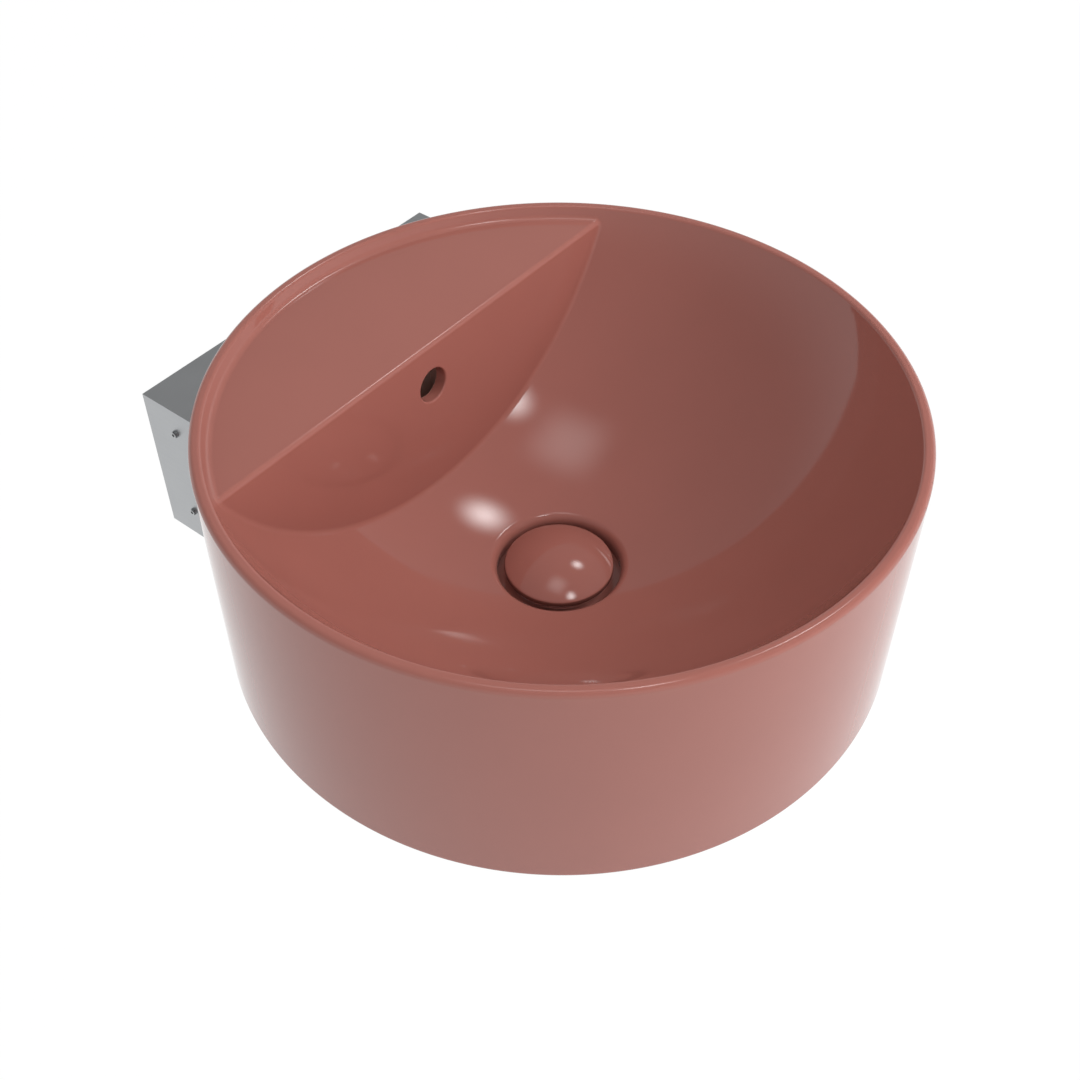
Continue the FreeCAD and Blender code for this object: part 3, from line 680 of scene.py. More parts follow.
def rounded_out(name, node, surfaces, sag=0.03 * MM, rounds=5):
    """A copy of a node whose facets are divided and laid onto its true surfaces, with the true
    surfaces' normals, so that a gloss glaze shows no flats."""
    surfaces = list(surfaces.values())
    points, triangles = merged_copy(node)
    owner = surface_of_each(points, triangles, surfaces)
    plane_normal = facet_normals(points, triangles)
    plane_point = points[triangles[:, 0]]
    for _ in range(rounds):
        points, triangles, parents, changed = halved_once(
            points, triangles, owner, plane_point, plane_normal, surfaces, sag)
        owner, plane_point, plane_normal = (x[parents] for x in (owner, plane_point, plane_normal))
        if not changed:
            break
    corner_points = points[triangles.reshape(-1)]
    corner_side = (np.repeat(owner, 3), np.repeat(plane_point, 3, axis=0),
                   np.repeat(plane_normal, 3, axis=0))
    _, corner_normals = misses(corner_points, corner_side, surfaces)
    mesh = bpy.data.meshes.new(name)
    mesh.from_pydata(points.tolist(), [], triangles.tolist())
    mesh.shade_smooth()
    mesh.normals_split_custom_set(corner_normals.tolist())
    return linked(name, mesh)


def linked(name, data):
    """An object for a mesh, a lamp or the camera, in the scene."""
    piece = bpy.data.objects.new(name, data)
    bpy.context.scene.collection.objects.link(piece)
    return piece


def slot_of(node):
    """The material slot that the record gives a node."""
    return next(s["material_slot"] for s in frame["record"]["subparts"] if s["node"] == node)


def give_finish(piece, node):
    """Gives a piece the finish of a node."""
    piece.data.materials.clear()
    piece.data.materials.append(finish_of(slot_of(node)))


def dress(piece, node, body):
    """Gives a piece its finish, hides the node that it stands for, and puts it on a body if given.
    """
    give_finish(piece, node)
    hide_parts(node)
    if body:
        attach(piece, body)


# --- Outlines of turned pieces, as (radius, height) with the metal or clay on the right ---

ROUND_SHARE = 0.45               # most of a run that the round at one of its ends may take
FLAT_START = 1.1                 # where a flat starts beside a round, in lengths of the round


def arc(centre, radius, start, end, steps):
    """Points on an arc, by angles in degrees from outward (0) to up (90)."""
    angles = np.radians(np.linspace(start, end, steps + 1))
    return [(centre[0] + radius * math.cos(a), centre[1] + radius * math.sin(a)) for a in angles]


def outline(corners, steps=5):
    """Points along straight runs whose corners (radius, height, round) are rounded.

    Each round has a point a little before and after it, so that the flats beside it stay flat
    in the shading.
    """
    points = []
    count = len(corners)
    for index, (r, z, radius) in enumerate(corners):
        here = np.array((r, z))
        back = np.array(corners[index - 1][:2]) - here
        ahead = np.array(corners[(index + 1) % count][:2]) - here
        room = min(np.linalg.norm(back), np.linalg.norm(ahead))
        if radius == 0 or room == 0:
            points.append((r, z))
            continue
        back, ahead = back / np.linalg.norm(back), ahead / np.linalg.norm(ahead)
        half = math.acos(max(-1.0, min(1.0, float(back @ ahead)))) / 2
        reach = min(radius / math.tan(half), room * ROUND_SHARE)
        middle = here + (back + ahead) / np.linalg.norm(back + ahead) * reach / math.cos(half)
        true_radius = reach * math.tan(half)
        first, last = here + back * reach - middle, here + ahead * reach - middle
        points.append(tuple(here + back * reach * FLAT_START))
        for k in range(steps + 1):
            mixed = first * (1 - k / steps) + last * (k / steps)
            points.append(tuple(middle + mixed / np.linalg.norm(mixed) * true_radius))
        points.append(tuple(here + ahead * reach * FLAT_START))
    return points


def ring_outline(bore, outer, low, high, edge):
    """A ring's section: up the bore, out over the top, down the outside and back below."""
    return outline([(bore, low, edge), (bore, high, edge), (outer, high, edge), (outer, low, edge)])


# --- Geometry Nodes: a section swept round an axis or along a thread, and fasteners on places ---

RIDGE_SINK = 0.05 * MM           # how far a thread's ridge reaches into its shank
RIDGE_FOOT, RIDGE_CREST = 0.46, 0.08    # half widths of the ridge, in pitches


def new_tree(name, inputs):
    """A geometry tree with named inputs, and its Group Input node."""
    tree = bpy.data.node_groups.new(name, "GeometryNodeTree")
    tree.interface.new_socket("Geometry", in_out="INPUT", socket_type="NodeSocketGeometry")
    for socket_name, kind in inputs.items():
        tree.interface.new_socket(socket_name, in_out="INPUT", socket_type="NodeSocket" + kind)
    tree.interface.new_socket("Geometry", in_out="OUTPUT", socket_type="NodeSocketGeometry")
    return tree, add(tree, "NodeGroupInput").outputs


def ended(tree, geometry, material):
    """Ends a tree in real geometry with its material."""
    real = add(tree, "GeometryNodeRealizeInstances", {"Geometry": geometry})
    finished = add(tree, "GeometryNodeSetMaterial", {"Geometry": real.outputs[0],
                                                     "Material": material})
    add(tree, "NodeGroupOutput", {"Geometry": finished.outputs[0]})
    return tree


def swept_tree():
    """Sweeps the section in the object's mesh round the axis, or up a helix where Thread is on.

    The section's x is the distance outside the path and its y is the depth below it.
    """
    tree, given = new_tree("swept section", {
        "Path Radius": "Float", "Segments": "Int", "Thread": "Bool", "Turns": "Float",
        "Pitch": "Float", "Place": "Vector", "Material": "Material"})
    circle = add(tree, "GeometryNodeCurvePrimitiveCircle",
                 {"Resolution": given["Segments"], "Radius": given["Path Radius"]})
    height = add(tree, "ShaderNodeMath", {0: given["Turns"], 1: given["Pitch"]},
                 operation="MULTIPLY")
    helix = add(tree, "GeometryNodeCurveSpiral",
                {"Resolution": given["Segments"], "Rotations": given["Turns"],
                 "Start Radius": given["Path Radius"], "End Radius": given["Path Radius"],
                 "Height": height.outputs[0]})
    path = add(tree, "GeometryNodeSwitch",
               {"Switch": given["Thread"], "False": circle.outputs[0], "True": helix.outputs[0]},
               input_type="GEOMETRY")
    upright = add(tree, "GeometryNodeSetCurveNormal", {"Curve": path.outputs[0]}, mode="Z_UP")
    section = add(tree, "GeometryNodeMeshToCurve", {"Mesh": given["Geometry"]})
    swept = add(tree, "GeometryNodeCurveToMesh",
                {"Curve": upright.outputs[0], "Profile Curve": section.outputs[0],
                 "Fill Caps": True})
    closed = add(tree, "GeometryNodeMergeByDistance",
                 {"Geometry": swept.outputs[0], "Distance": MERGED})
    placed = add(tree, "GeometryNodeSetPosition",
                 {"Geometry": closed.outputs[0], "Offset": given["Place"]})
    return ended(tree, placed.outputs[0], given["Material"])


def fastener_tree():
    """Puts a fastener on each point of the object's mesh, turned as the point says."""
    tree, given = new_tree("fasteners on places", {"Fastener": "Object", "Material": "Material"})
    pattern = add(tree, "GeometryNodeObjectInfo", {"Object": given["Fastener"]})
    turn = add(tree, "GeometryNodeInputNamedAttribute", {"Name": "turn"}, data_type="FLOAT_VECTOR")
    facing = add(tree, "FunctionNodeEulerToRotation", {"Euler": turn.outputs["Attribute"]})
    placed = add(tree, "GeometryNodeInstanceOnPoints",
                 {"Points": given["Geometry"], "Instance": pattern.outputs["Geometry"],
                  "Rotation": facing.outputs[0]})
    return ended(tree, placed.outputs[0], given["Material"])


def grown(name, node, start_mesh, make_tree, inputs, sharp_over=None):
    """A plain mesh object from a start mesh and a tree, in the finish of a node."""
    inputs["Material"] = finish_of(slot_of(node))
    tree = bpy.data.node_groups.get(make_tree.__name__) or make_tree()
    tree.name = make_tree.__name__
    start = linked(name, start_mesh)
    modifier = start.modifiers.new("nodes", "NODES")
    modifier.node_group = tree
    for item in tree.interface.items_tree:
        if item.in_out == "INPUT" and item.name in inputs:
            modifier[item.identifier] = inputs[item.name]
    return made_real(name, start, sharp_over)


def made_real(name, start, sharp_over=None):
    """The evaluated object as a plain mesh, with the edges over an angle left sharp. The object
    with its modifiers is removed."""
    evaluated = start.evaluated_get(bpy.context.evaluated_depsgraph_get())
    mesh = bpy.data.meshes.new_from_object(evaluated)
    mesh.name = name
    bpy.data.objects.remove(start)
    if sharp_over is not None:
        mesh.shade_smooth()
        mesh.set_sharp_from_angle(angle=math.radians(sharp_over))
    piece = linked(name, mesh)
    piece.name = name
    return piece


def section_mesh(name, points, path_radius, closed):
    """A section's outline as a mesh of edges, for the sweep."""
    edges = [(i, i + 1) for i in range(len(points) - 1)] + [(len(points) - 1, 0)] * closed
    mesh = bpy.data.meshes.new(name)
    mesh.from_pydata([(r - path_radius, -z, 0) for r, z in points], edges, [])
    return mesh


def turned_piece(name, node, points, closed=True, segments=96, place=(0.0, AXIS_Y, 0.0)):
    """A piece of revolution from its outline, on the basin's axis unless a place is given."""
    path_radius = max(r for r, _ in points) / 2
    return grown(name, node, section_mesh(name, points, path_radius, closed), swept_tree,
                 {"Path Radius": path_radius, "Segments": segments, "Place": place}, 40)


def turned_node(node, body, points, closed=True, segments=96):
    """A piece of revolution in the place of a node."""
    dress(turned_piece(node + "_piece", node, points, closed, segments), node, body)


def thread_ridge(node, radius, depth, pitch, low, high, place=(0.0, AXIS_Y), segments=64):
    """The ridge of a screw thread: one sharp-rooted, blunt-crested section up a helix."""
    root = radius - depth - RIDGE_SINK
    half, blunt = pitch * RIDGE_FOOT, pitch * RIDGE_CREST
    points = [(root, half), (radius, blunt), (radius, -blunt), (root, -half)]
    low, high = low + half, high - half
    return grown("ridge", node, section_mesh("ridge", points, radius, True), swept_tree,
                 {"Path Radius": radius, "Segments": segments, "Thread": True,
                  "Turns": (high - low) / pitch, "Pitch": pitch, "Place": (*place, low)}, 30)


def on_places(node, fastener, places):
    """Copies of a fastener at places (point, turn), in the place of their node. The pattern
    object is removed."""
    name = node + "_piece"
    mesh = bpy.data.meshes.new(name)
    mesh.from_pydata([point for point, _ in places], [], [])
    turns = mesh.attributes.new("turn", "FLOAT_VECTOR", "POINT")
    turns.data.foreach_set("vector", np.array([turn for _, turn in places]).ravel())
    piece = grown(name, node, mesh, fastener_tree, {"Fastener": fastener})
    bpy.data.objects.remove(fastener)
    dress(piece, node, ROOT)


# --- Hexagonal and other lofted pieces, made ring by ring ---

COLUMNS = 72                     # points round a lofted ring: a multiple of six
CHAMFER_SLOPE = math.tan(math.radians(30))    # of the corners of nuts and bolt heads
NUT_FACE, BOLT_FACE = 0.97, 0.95              # radius of their round faces, in half flats


def angles_round():
    """The angle of each column."""
    return np.arange(COLUMNS) * 2 * math.pi / COLUMNS


def hexagon_radius(flats):
    """A hexagon's radius at each column; its corners fall on columns."""
    off_flat = (angles_round() + math.pi / 6) % (math.pi / 3) - math.pi / 6
    return flats / 2 / np.cos(math.pi / 6 - np.abs(off_flat))


def level_ring(radius, z):
    """A ring of points at a radius and a height; either may change from column to column."""
    angles = angles_round()
    radius = np.broadcast_to(radius, angles.shape)
    return np.stack([radius * np.cos(angles), radius * np.sin(angles),
                     np.broadcast_to(z, angles.shape)], axis=1)


def lofted(name, rings, closed, sharp_over=30):
    """A mesh through rings of points; closed joins the last ring to the first, and open ends
    are closed by a disc of triangles round their middle."""
    points = np.concatenate(rings)
    count = len(rings)
    faces = []
    for row in range(count if closed else count - 1):
        low, high = row * COLUMNS, (row + 1) % count * COLUMNS
        for i in range(COLUMNS):
            j = (i + 1) % COLUMNS
            faces.append((low + i, low + j, high + j, high + i))
    if not closed:
        first, last = len(points), len(points) + 1
        points = np.concatenate([points, [rings[0].mean(axis=0)], [rings[-1].mean(axis=0)]])
        top = (count - 1) * COLUMNS
        for i in range(COLUMNS):
            j = (i + 1) % COLUMNS
            faces += [(first, j, i), (last, top + i, top + j)]
    mesh = bpy.data.meshes.new(name)
    mesh.from_pydata(points.tolist(), [], faces)
    pointed_out(mesh)
    mesh.shade_smooth()
    mesh.set_sharp_from_angle(angle=math.radians(sharp_over))
    return linked(name, mesh)


def pointed_out(mesh):
    """Merges a mesh's doubles and turns its faces outwards."""
    solid = bmesh.new()
    solid.from_mesh(mesh)
    bmesh.ops.remove_doubles(solid, verts=solid.verts, dist=1e-8)
    bmesh.ops.recalc_face_normals(solid, faces=solid.faces)
    solid.to_mesh(mesh)
    solid.free()


def hexagonal_ring(name, flats, bore, height, edge, corner_limit=None):
    """A hexagonal nut from z = 0 up, with its corners chamfered at both faces."""
    side = hexagon_radius(flats)
    if corner_limit is not None:
        side = np.minimum(side, corner_limit)
    face_radius = flats / 2 * NUT_FACE
    drop = (side - face_radius) * CHAMFER_SLOPE
    rings = [level_ring(bore, edge), level_ring(bore + edge, 0.0), level_ring(face_radius, 0.0),
             level_ring(side, drop), level_ring(side, height - drop),
             level_ring(face_radius, height), level_ring(bore + edge, height),
             level_ring(bore, height - edge)]
    return lofted(name, rings, closed=True)


def joined(name, *pieces):
    """One piece from several: their meshes in one, with the normals that each has."""
    for piece in pieces:
        piece.data.validate()
    with bpy.context.temp_override(active_object=pieces[0], object=pieces[0],
                                   selected_editable_objects=list(pieces),
                                   selected_objects=list(pieces)):
        bpy.ops.object.join()
    pieces[0].name = name
    return pieces[0]


# --- The waste, the plug and the cartridge ---

FIT = 0.05 * MM                  # play of a threaded or pressed fit, on the radius
ON_THREAD = 0.02 * MM            # a point this near the thread's cylinder lies on it
STEM_RADIUS = 4.0 * MM
RELIEF_DROP, RELIEF_WIDTH, RELIEF_DEPTH = 4.0 * MM, 3.0 * MM, 1.0 * MM   # groove in the thread
PLUG_SEAT_RADIUS = 23.0 * MM
HUB_WALL = 3.0 * MM              # of the spider's hub in the waste
NECK_PLAY = 1.5 * MM             # carrier's neck in the waste's bore, on the radius
NECK_FOOT = 0.8 * MM             # carrier's foot outside its neck, which holds the seal
SHOULDER_SETBACK = 1.0 * MM      # carrier's shoulder inside the edge of the seal
DRAIN_RADIUS = 3.0 * MM          # hole in the cartridge's floor
COLLAR_HEIGHT = 3.0 * MM         # of the stem's collar over the latch ring
WIRE_RADIUS, COIL_PITCH = 0.6 * MM, 2.0 * MM    # of the spring
CONE_SLOPE = 2.4 * MM            # slope of the cone seal's upper edge


def make_ring(node, body, bore, edge=None):
    """A plain turned ring in the place of a node, with its edges broken."""
    low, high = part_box(node)
    edge = sizes().edge_break if edge is None else edge
    turned_node(node, body, ring_outline(bore, high.x, low.z, high.z, edge))


def make_nut(node, body, bore, edge, corner_limit=None):
    """A hexagonal nut on the basin's axis, in the place of a node."""
    low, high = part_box(node)
    nut = hexagonal_ring(node + "_piece", high.y - low.y, bore, high.z - low.z, edge, corner_limit)
    nut.data.transform(Matrix.Translation((0, AXIS_Y, low.z)))
    dress(nut, node, body)


def make_waste(s):
    """The waste: its turned surfaces trued, its thread's root turned down and the ridge added."""
    low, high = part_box("waste_body")
    thread = s.waste_thread / 2
    hub_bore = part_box("clicker_barrel")[1].x + FIT

    def wall(radius, hollow=False):
        return pillar_surface((0, AXIS_Y, 0), UP, radius, hollow)

    waste = rounded_out("waste_body_piece", "waste_body", {
        "flange": wall(high.x),
        "flange edge": hoop_surface((0, AXIS_Y, high.z - s.flange_round), UP,
                                    high.x - s.flange_round, s.flange_round),
        "thread": wall(thread),
        "relief": wall(thread - RELIEF_DEPTH),
        "bore": wall(s.waste_bore / 2, hollow=True),
        "seat": wall(PLUG_SEAT_RADIUS, hollow=True),
        "hub bore": wall(hub_bore, hollow=True),
        "hub": wall(hub_bore + HUB_WALL),
    })
    root = thread - s.thread_depth
    below_flange = high.z - s.flange_thickness - 0.1 * MM
    for vertex in waste.data.vertices:
        reach = math.hypot(vertex.co.x, vertex.co.y - AXIS_Y)
        if abs(reach - thread) < ON_THREAD and vertex.co.z < below_flange:
            vertex.co.x *= root / reach
            vertex.co.y = AXIS_Y + (vertex.co.y - AXIS_Y) * root / reach
    relief_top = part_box("back_nut")[0].z - RELIEF_DROP
    runs = ((low.z, relief_top - RELIEF_WIDTH), (relief_top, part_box("cone_seal")[0].z))
    ridges = [thread_ridge("waste_body", thread, s.thread_depth, s.thread_pitch, *run)
              for run in runs]
    dress(joined("waste_body_piece", waste, *ridges), "waste_body", ROOT)


def make_waste_seals(s):
    """The rubber and acetal rings round the waste, and the nut that draws them up."""
    seal_bore = s.waste_thread / 2 + s.seal_bore_play
    for node in ("flange_seal", "slip_washer"):
        make_ring(node, ROOT, seal_bore)
    low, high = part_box("cone_seal")
    corners = [(seal_bore, low.z), (seal_bore, high.z), (high.x - CONE_SLOPE, high.z),
               (high.x, high.z - CONE_SLOPE), (high.x, low.z)]
    turned_node("cone_seal", ROOT, outline([(r, z, s.edge_break) for r, z in corners]))
    make_nut("back_nut", ROOT, s.waste_thread / 2 + FIT, s.edge_break,
             corner_limit=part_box("back_nut")[1].x)


def make_carrier(s):
    """The carrier with its neck and shoulder, the seal on it, the bonding pad and the lock nut."""
    edge = s.edge_break / 2
    disc_low, disc_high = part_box("plug_carrier")
    seal_low, seal_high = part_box("plug_seal")
    stem_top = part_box("clicker_stem")[1].z
    cover_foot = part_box("drain_cover")[0].z
    bore = STEM_RADIUS + FIT
    neck = s.waste_bore / 2 - NECK_PLAY
    foot = neck + NECK_FOOT
    shoulder = seal_high.x - SHOULDER_SETBACK
    turned_node("plug_carrier", PLUG, [(0, disc_high.z)] + outline([
        (disc_high.x, disc_high.z, edge), (disc_high.x, cover_foot, edge),
        (shoulder, cover_foot, 0), (shoulder, seal_high.z, edge), (neck, seal_high.z, 0),
        (neck, seal_low.z, 0), (foot, seal_low.z, edge), (foot, disc_low.z, edge),
        (bore, disc_low.z, edge), (bore, stem_top, 0), (0, stem_top, 0)]), closed=False)
    make_ring("plug_seal", PLUG, neck)
    low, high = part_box("cover_bond_pad")
    turned_node("cover_bond_pad", PLUG, [(0, high.z)] + outline(
        [(high.x, high.z, edge), (high.x, low.z, edge), (0, low.z, 0)]), closed=False)
    make_nut("stem_lock_nut", PLUG, bore, edge)


def make_cartridge(s):
    """The barrel with its drained floor, the guide bush and the stem with its collar."""
    edge = s.edge_break / 2
    low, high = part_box("clicker_barrel")
    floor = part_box("clicker_spring")[0].z
    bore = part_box("clicker_bush")[1].x
    turned_node("clicker_barrel", ROOT, outline([
        (DRAIN_RADIUS, low.z, edge), (DRAIN_RADIUS, floor, edge), (bore, floor, edge),
        (bore, high.z, edge), (high.x, high.z, edge), (high.x, low.z, edge)]))
    make_ring("clicker_bush", ROOT, STEM_RADIUS + FIT, edge)
    low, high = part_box("clicker_stem")
    collar_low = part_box("latch_ring")[1].z
    collar_high = collar_low + COLLAR_HEIGHT
    turned_node("clicker_stem", PLUG, [(0, high.z)] + outline([
        (STEM_RADIUS, high.z, edge), (STEM_RADIUS, collar_high, 0), (high.x, collar_high, edge),
        (high.x, collar_low, edge), (STEM_RADIUS, collar_low, 0), (STEM_RADIUS, low.z, edge),
        (0, low.z, 0)]), closed=False)


def make_spring():
    """The cartridge's spring as a real helix, stretched between the barrel and the latch."""
    node = "clicker_spring"
    low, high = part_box(node)
    path = high.x - WIRE_RADIUS
    points = arc((path, 0), WIRE_RADIUS, 0, -330, 11)    # twelve points round the wire
    start, end = low.z + WIRE_RADIUS, high.z - WIRE_RADIUS
    spring = grown(node + "_piece", node, section_mesh("spring", points, path, True), swept_tree,
                   {"Path Radius": path, "Segments": 48, "Thread": True,
                    "Turns": (end - start) / COIL_PITCH, "Pitch": COIL_PITCH,
                    "Place": (0.0, AXIS_Y, start)}, 60)
    dress(spring, node, None)
    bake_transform(spring)


# --- Screws, nuts and bolts ---

SCREW_REACH = 3.0 * MM           # locking screw's point inside the wall frame's side
SCREW_POINT_RADIUS, SCREW_POINT_CHAMFER = 1.4 * MM, 0.35 * MM
SCREW_THREAD_DEPTH, SCREW_PITCH = 0.3 * MM, 0.7 * MM
SCREW_SHOULDER_GAP = 0.3 * MM    # the shoulder's play to the frame
SCREW_END = 0.5 * MM             # plain end outside the thread
SCREW_RUNOUT = 0.2 * MM          # slope at both ends of the thread's root
SCREW_CHAMFER = 0.15 * MM
SOCKET_FLATS, SOCKET_DEPTH = 2.0 * MM, 2.0 * MM
SOCKET_POINT, SOCKET_CHAMFER = 0.4 * MM, 0.05 * MM
LOCK_NUT_GAP, LOCK_NUT_EDGE = 2.0 * MM, 0.3 * MM
BOLT_FLATS, BOLT_HEAD, BOLT_SHANK = 13.0 * MM, 5.3 * MM, 4.0 * MM
BOLT_TIP_DEPTH, BOLT_TIP_HEIGHT = 0.7 * MM, 0.8 * MM
LOOSE = 0.3 * MM                 # play of washers and pads round the bolts, on the radius


def make_lock_screws():
    """Set screws with a hexagon socket and a plain point, and the nuts that they run in."""
    low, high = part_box("lock_screws")
    frame_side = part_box("wall_frame")[1].x
    radius = (high.y - low.y) / 2
    y = (high.y + low.y) / 2
    start = frame_side - SCREW_REACH
    end = high.x - start
    shoulder = frame_side + SCREW_SHOULDER_GAP - start
    point, root = SCREW_POINT_RADIUS, radius - SCREW_THREAD_DEPTH
    socket = hexagon_radius(SOCKET_FLATS)
    shank = lofted("lock_screw", [level_ring(*ring) for ring in (
        (point - SCREW_POINT_CHAMFER, 0.0), (point, SCREW_POINT_CHAMFER), (point, shoulder),
        (root, shoulder + SCREW_RUNOUT), (root, end - SCREW_END - SCREW_RUNOUT),
        (radius, end - SCREW_END), (radius, end - SCREW_CHAMFER), (radius - SCREW_CHAMFER, end),
        (socket + SOCKET_CHAMFER, end), (socket, end - SOCKET_CHAMFER), (socket, end - SOCKET_DEPTH),
        (SOCKET_POINT, end - SOCKET_DEPTH - SOCKET_POINT))], closed=False)
    ridge = thread_ridge("lock_screws", radius, SCREW_THREAD_DEPTH, SCREW_PITCH,
                         shoulder + SCREW_RUNOUT / 2, end - SCREW_END, place=(0, 0), segments=32)
    sides = [(side, z) for side in (-1, 1) for z in (low.z + radius, high.z - radius)]
    on_places("lock_screws", joined("lock_screw", shank, ridge),
              [((side * start, y, z), (0, side * math.pi / 2, 0)) for side, z in sides])
    low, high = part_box("lock_nuts")
    nut = hexagonal_ring("lock_nut", high.y - low.y, radius + FIT,
                         high.x - (frame_side + LOCK_NUT_GAP), LOCK_NUT_EDGE)
    on_places("lock_nuts", nut,
              [((side * high.x, y, z), (0, -side * math.pi / 2, 0)) for side, z in sides])


def make_basin_bolts():
    """Hexagon bolts with their washers, sleeves and rubber pads, at the four bosses."""
    low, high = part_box("basin_bolts")
    x = high.x - BOLT_FLATS / math.sqrt(3)
    corners = [(side * x, y) for side in (-1, 1)
               for y in (low.y + BOLT_FLATS / 2, high.y - BOLT_FLATS / 2)]
    side = hexagon_radius(BOLT_FLATS)
    face_radius = BOLT_FLATS / 2 * BOLT_FACE
    end = high.z - low.z
    bolt = lofted("basin_bolt", [level_ring(*ring) for ring in (
        (face_radius, 0.0), (side, (side - face_radius) * CHAMFER_SLOPE), (side, BOLT_HEAD),
        (BOLT_SHANK, BOLT_HEAD), (BOLT_SHANK, end - BOLT_TIP_HEIGHT),
        (BOLT_SHANK - BOLT_TIP_DEPTH, end))], closed=False)
    on_places("basin_bolts", bolt, [((px, py, low.z), (0, 0, 0)) for px, py in corners])
    for node, play, edge in (("bolt_washers", LOOSE, 0.15 * MM), ("bolt_inserts", FIT, 0.3 * MM),
                             ("bracket_pads", LOOSE, 0.3 * MM)):
        low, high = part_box(node)
        points = ring_outline(BOLT_SHANK + play, high.x - x, 0.0, high.z - low.z, edge)
        ring = turned_piece(node + "_pattern", node, points, segments=48, place=(0.0, 0.0, 0.0))
        on_places(node, ring, [((px, py, low.z), (0, 0, 0)) for px, py in corners])


# --- Folded sheet ---

IN_PLANE = math.radians(0.5)     # facets that turn by less than this are one flat face
SHARP_FOLD = math.radians(40)    # edges that turn by more than this are softened
SQUARE_TO_AXES = 0.99999         # least size of a flat face's normal along an axis
LARGE_FACE = MM ** 2             # faces over this area shade flat


def softened_sheet(name, node, width):
    """A merged copy of a folded sheet whose edges are softened, as tumbled sheet has them."""
    solid = bmesh.new()
    solid.from_mesh(frame["nodes"][node].data)
    bmesh.ops.remove_doubles(solid, verts=solid.verts, dist=MERGED)
    bmesh.ops.dissolve_limit(solid, angle_limit=IN_PLANE, verts=solid.verts, edges=solid.edges)
    mesh = bpy.data.meshes.new(name)
    solid.to_mesh(mesh)
    solid.free()
    mesh.shade_smooth()
    sheet = linked(name, mesh)
    bevel = sheet.modifiers.new("soft edges", "BEVEL")
    bevel.width = width
    bevel.segments = 3
    bevel.limit_method = "ANGLE"
    bevel.angle_limit = SHARP_FOLD
    softened = made_real(name, sheet)
    squared_up(softened.data)
    return softened


def squared_up(mesh):
    """Gives the flat faces of a folded sheet their true normals: only its edges shade round."""
    normals = [vertex.normal.copy() for vertex in mesh.vertices]
    for polygon in mesh.polygons:
        square = max(abs(n) for n in polygon.normal) > SQUARE_TO_AXES
        if square and polygon.area > LARGE_FACE:
            for index in polygon.vertices:
                normals[index] = polygon.normal.copy()
    mesh.normals_split_custom_set_from_vertices(normals)


# --- Operators ---

SHORT_FLAT = 0.2 * MM            # where the cover's side starts beside its rounds


class BASIN_OT_ceramic_body(bpy.types.Operator):
    """The glazed body: rim, bowl, deck, overflow hole and skirt."""

    bl_idname = "basin.ceramic_body"
    bl_label = "Ceramic body"

    def execute(self, context):
        body = rounded_out("basin_body_piece", "basin_body", body_surfaces())
        dress(body, "basin_body", ROOT)
        return {"FINISHED"}


class BASIN_OT_drain_cover(bpy.types.Operator):
    """The domed ceramic cover over the drain, with its rounded edge and the carrier's pocket."""

    bl_idname = "basin.drain_cover"
    bl_label = "Drain cover"

    def execute(self, context):
        s = sizes()
        low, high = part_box("drain_cover")
        radius = high.x
        dome_z = high.z - s.cover_dome
        edge_r = radius - s.cover_round
        edge_z = dome_z + math.sqrt((s.cover_dome - s.cover_round) ** 2 - edge_r ** 2)
        lean = math.degrees(math.atan2(edge_z - dome_z, edge_r))
        foot = s.cover_foot_round
        points = arc((0, dome_z), s.cover_dome, 90, lean, 30)
        points += arc((edge_r, edge_z), s.cover_round, lean, 0, 10)[1:]
        points += [(radius, edge_z - SHORT_FLAT), (radius, low.z + foot + SHORT_FLAT)]
        points += arc((radius - foot, low.z + foot), foot, 0, -90, 6)
        pocket = s.cover_pocket / 2
        roof = low.z + s.cover_pocket_depth
        points += outline([(radius - 1.5 * foot, low.z, 0), (pocket, low.z, s.edge_break),
                           (pocket, roof, s.edge_break), (0, roof, 0)])
        turned_node("drain_cover", PLUG, points, closed=False, segments=160)
        return {"FINISHED"}


class BASIN_OT_waste(bpy.types.Operator):
    """The threaded waste with its flange, slots and spider, and what clamps it to the ceramic."""

    bl_idname = "basin.waste"
    bl_label = "Waste and its seals"

    def execute(self, context):
        s = sizes()
        make_waste(s)
        make_waste_seals(s)
        return {"FINISHED"}


class BASIN_OT_plug(bpy.types.Operator):
    """The push-to-open cartridge in the waste, and the carrier and seal below the cover."""

    bl_idname = "basin.plug"
    bl_label = "Cartridge and plug"

    def execute(self, context):
        s = sizes()
        make_carrier(s)
        make_cartridge(s)
        make_spring()
        return {"FINISHED"}


class BASIN_OT_bracket(bpy.types.Operator):
    """The folded box bracket and the frame on the wall that it slides over."""

    bl_idname = "basin.bracket"
    bl_label = "Bracket and wall frame"

    def execute(self, context):
        for node in ("bracket_shell", "wall_frame"):
            sheet = softened_sheet(node + "_piece", node, sizes().sheet_edge_round)
            dress(sheet, node, ROOT)
        return {"FINISHED"}


class BASIN_OT_fasteners(bpy.types.Operator):
    """Locking screws and their nuts, and the bolts, washers, sleeves and pads below the deck."""

    bl_idname = "basin.fasteners"
    bl_label = "Fasteners"

    def execute(self, context):
        make_lock_screws()
        make_basin_bolts()
        return {"FINISHED"}


class BASIN_OT_plain_nodes(bpy.types.Operator):
    """The nodes that keep their own mesh and only get a finish."""

    bl_idname = "basin.plain_nodes"
    bl_label = "Finishes of the hidden fittings"

    def execute(self, context):
        for node, piece in frame["nodes"].items():
            if not piece.hide_render:
                give_finish(piece, node)
        return {"FINISHED"}


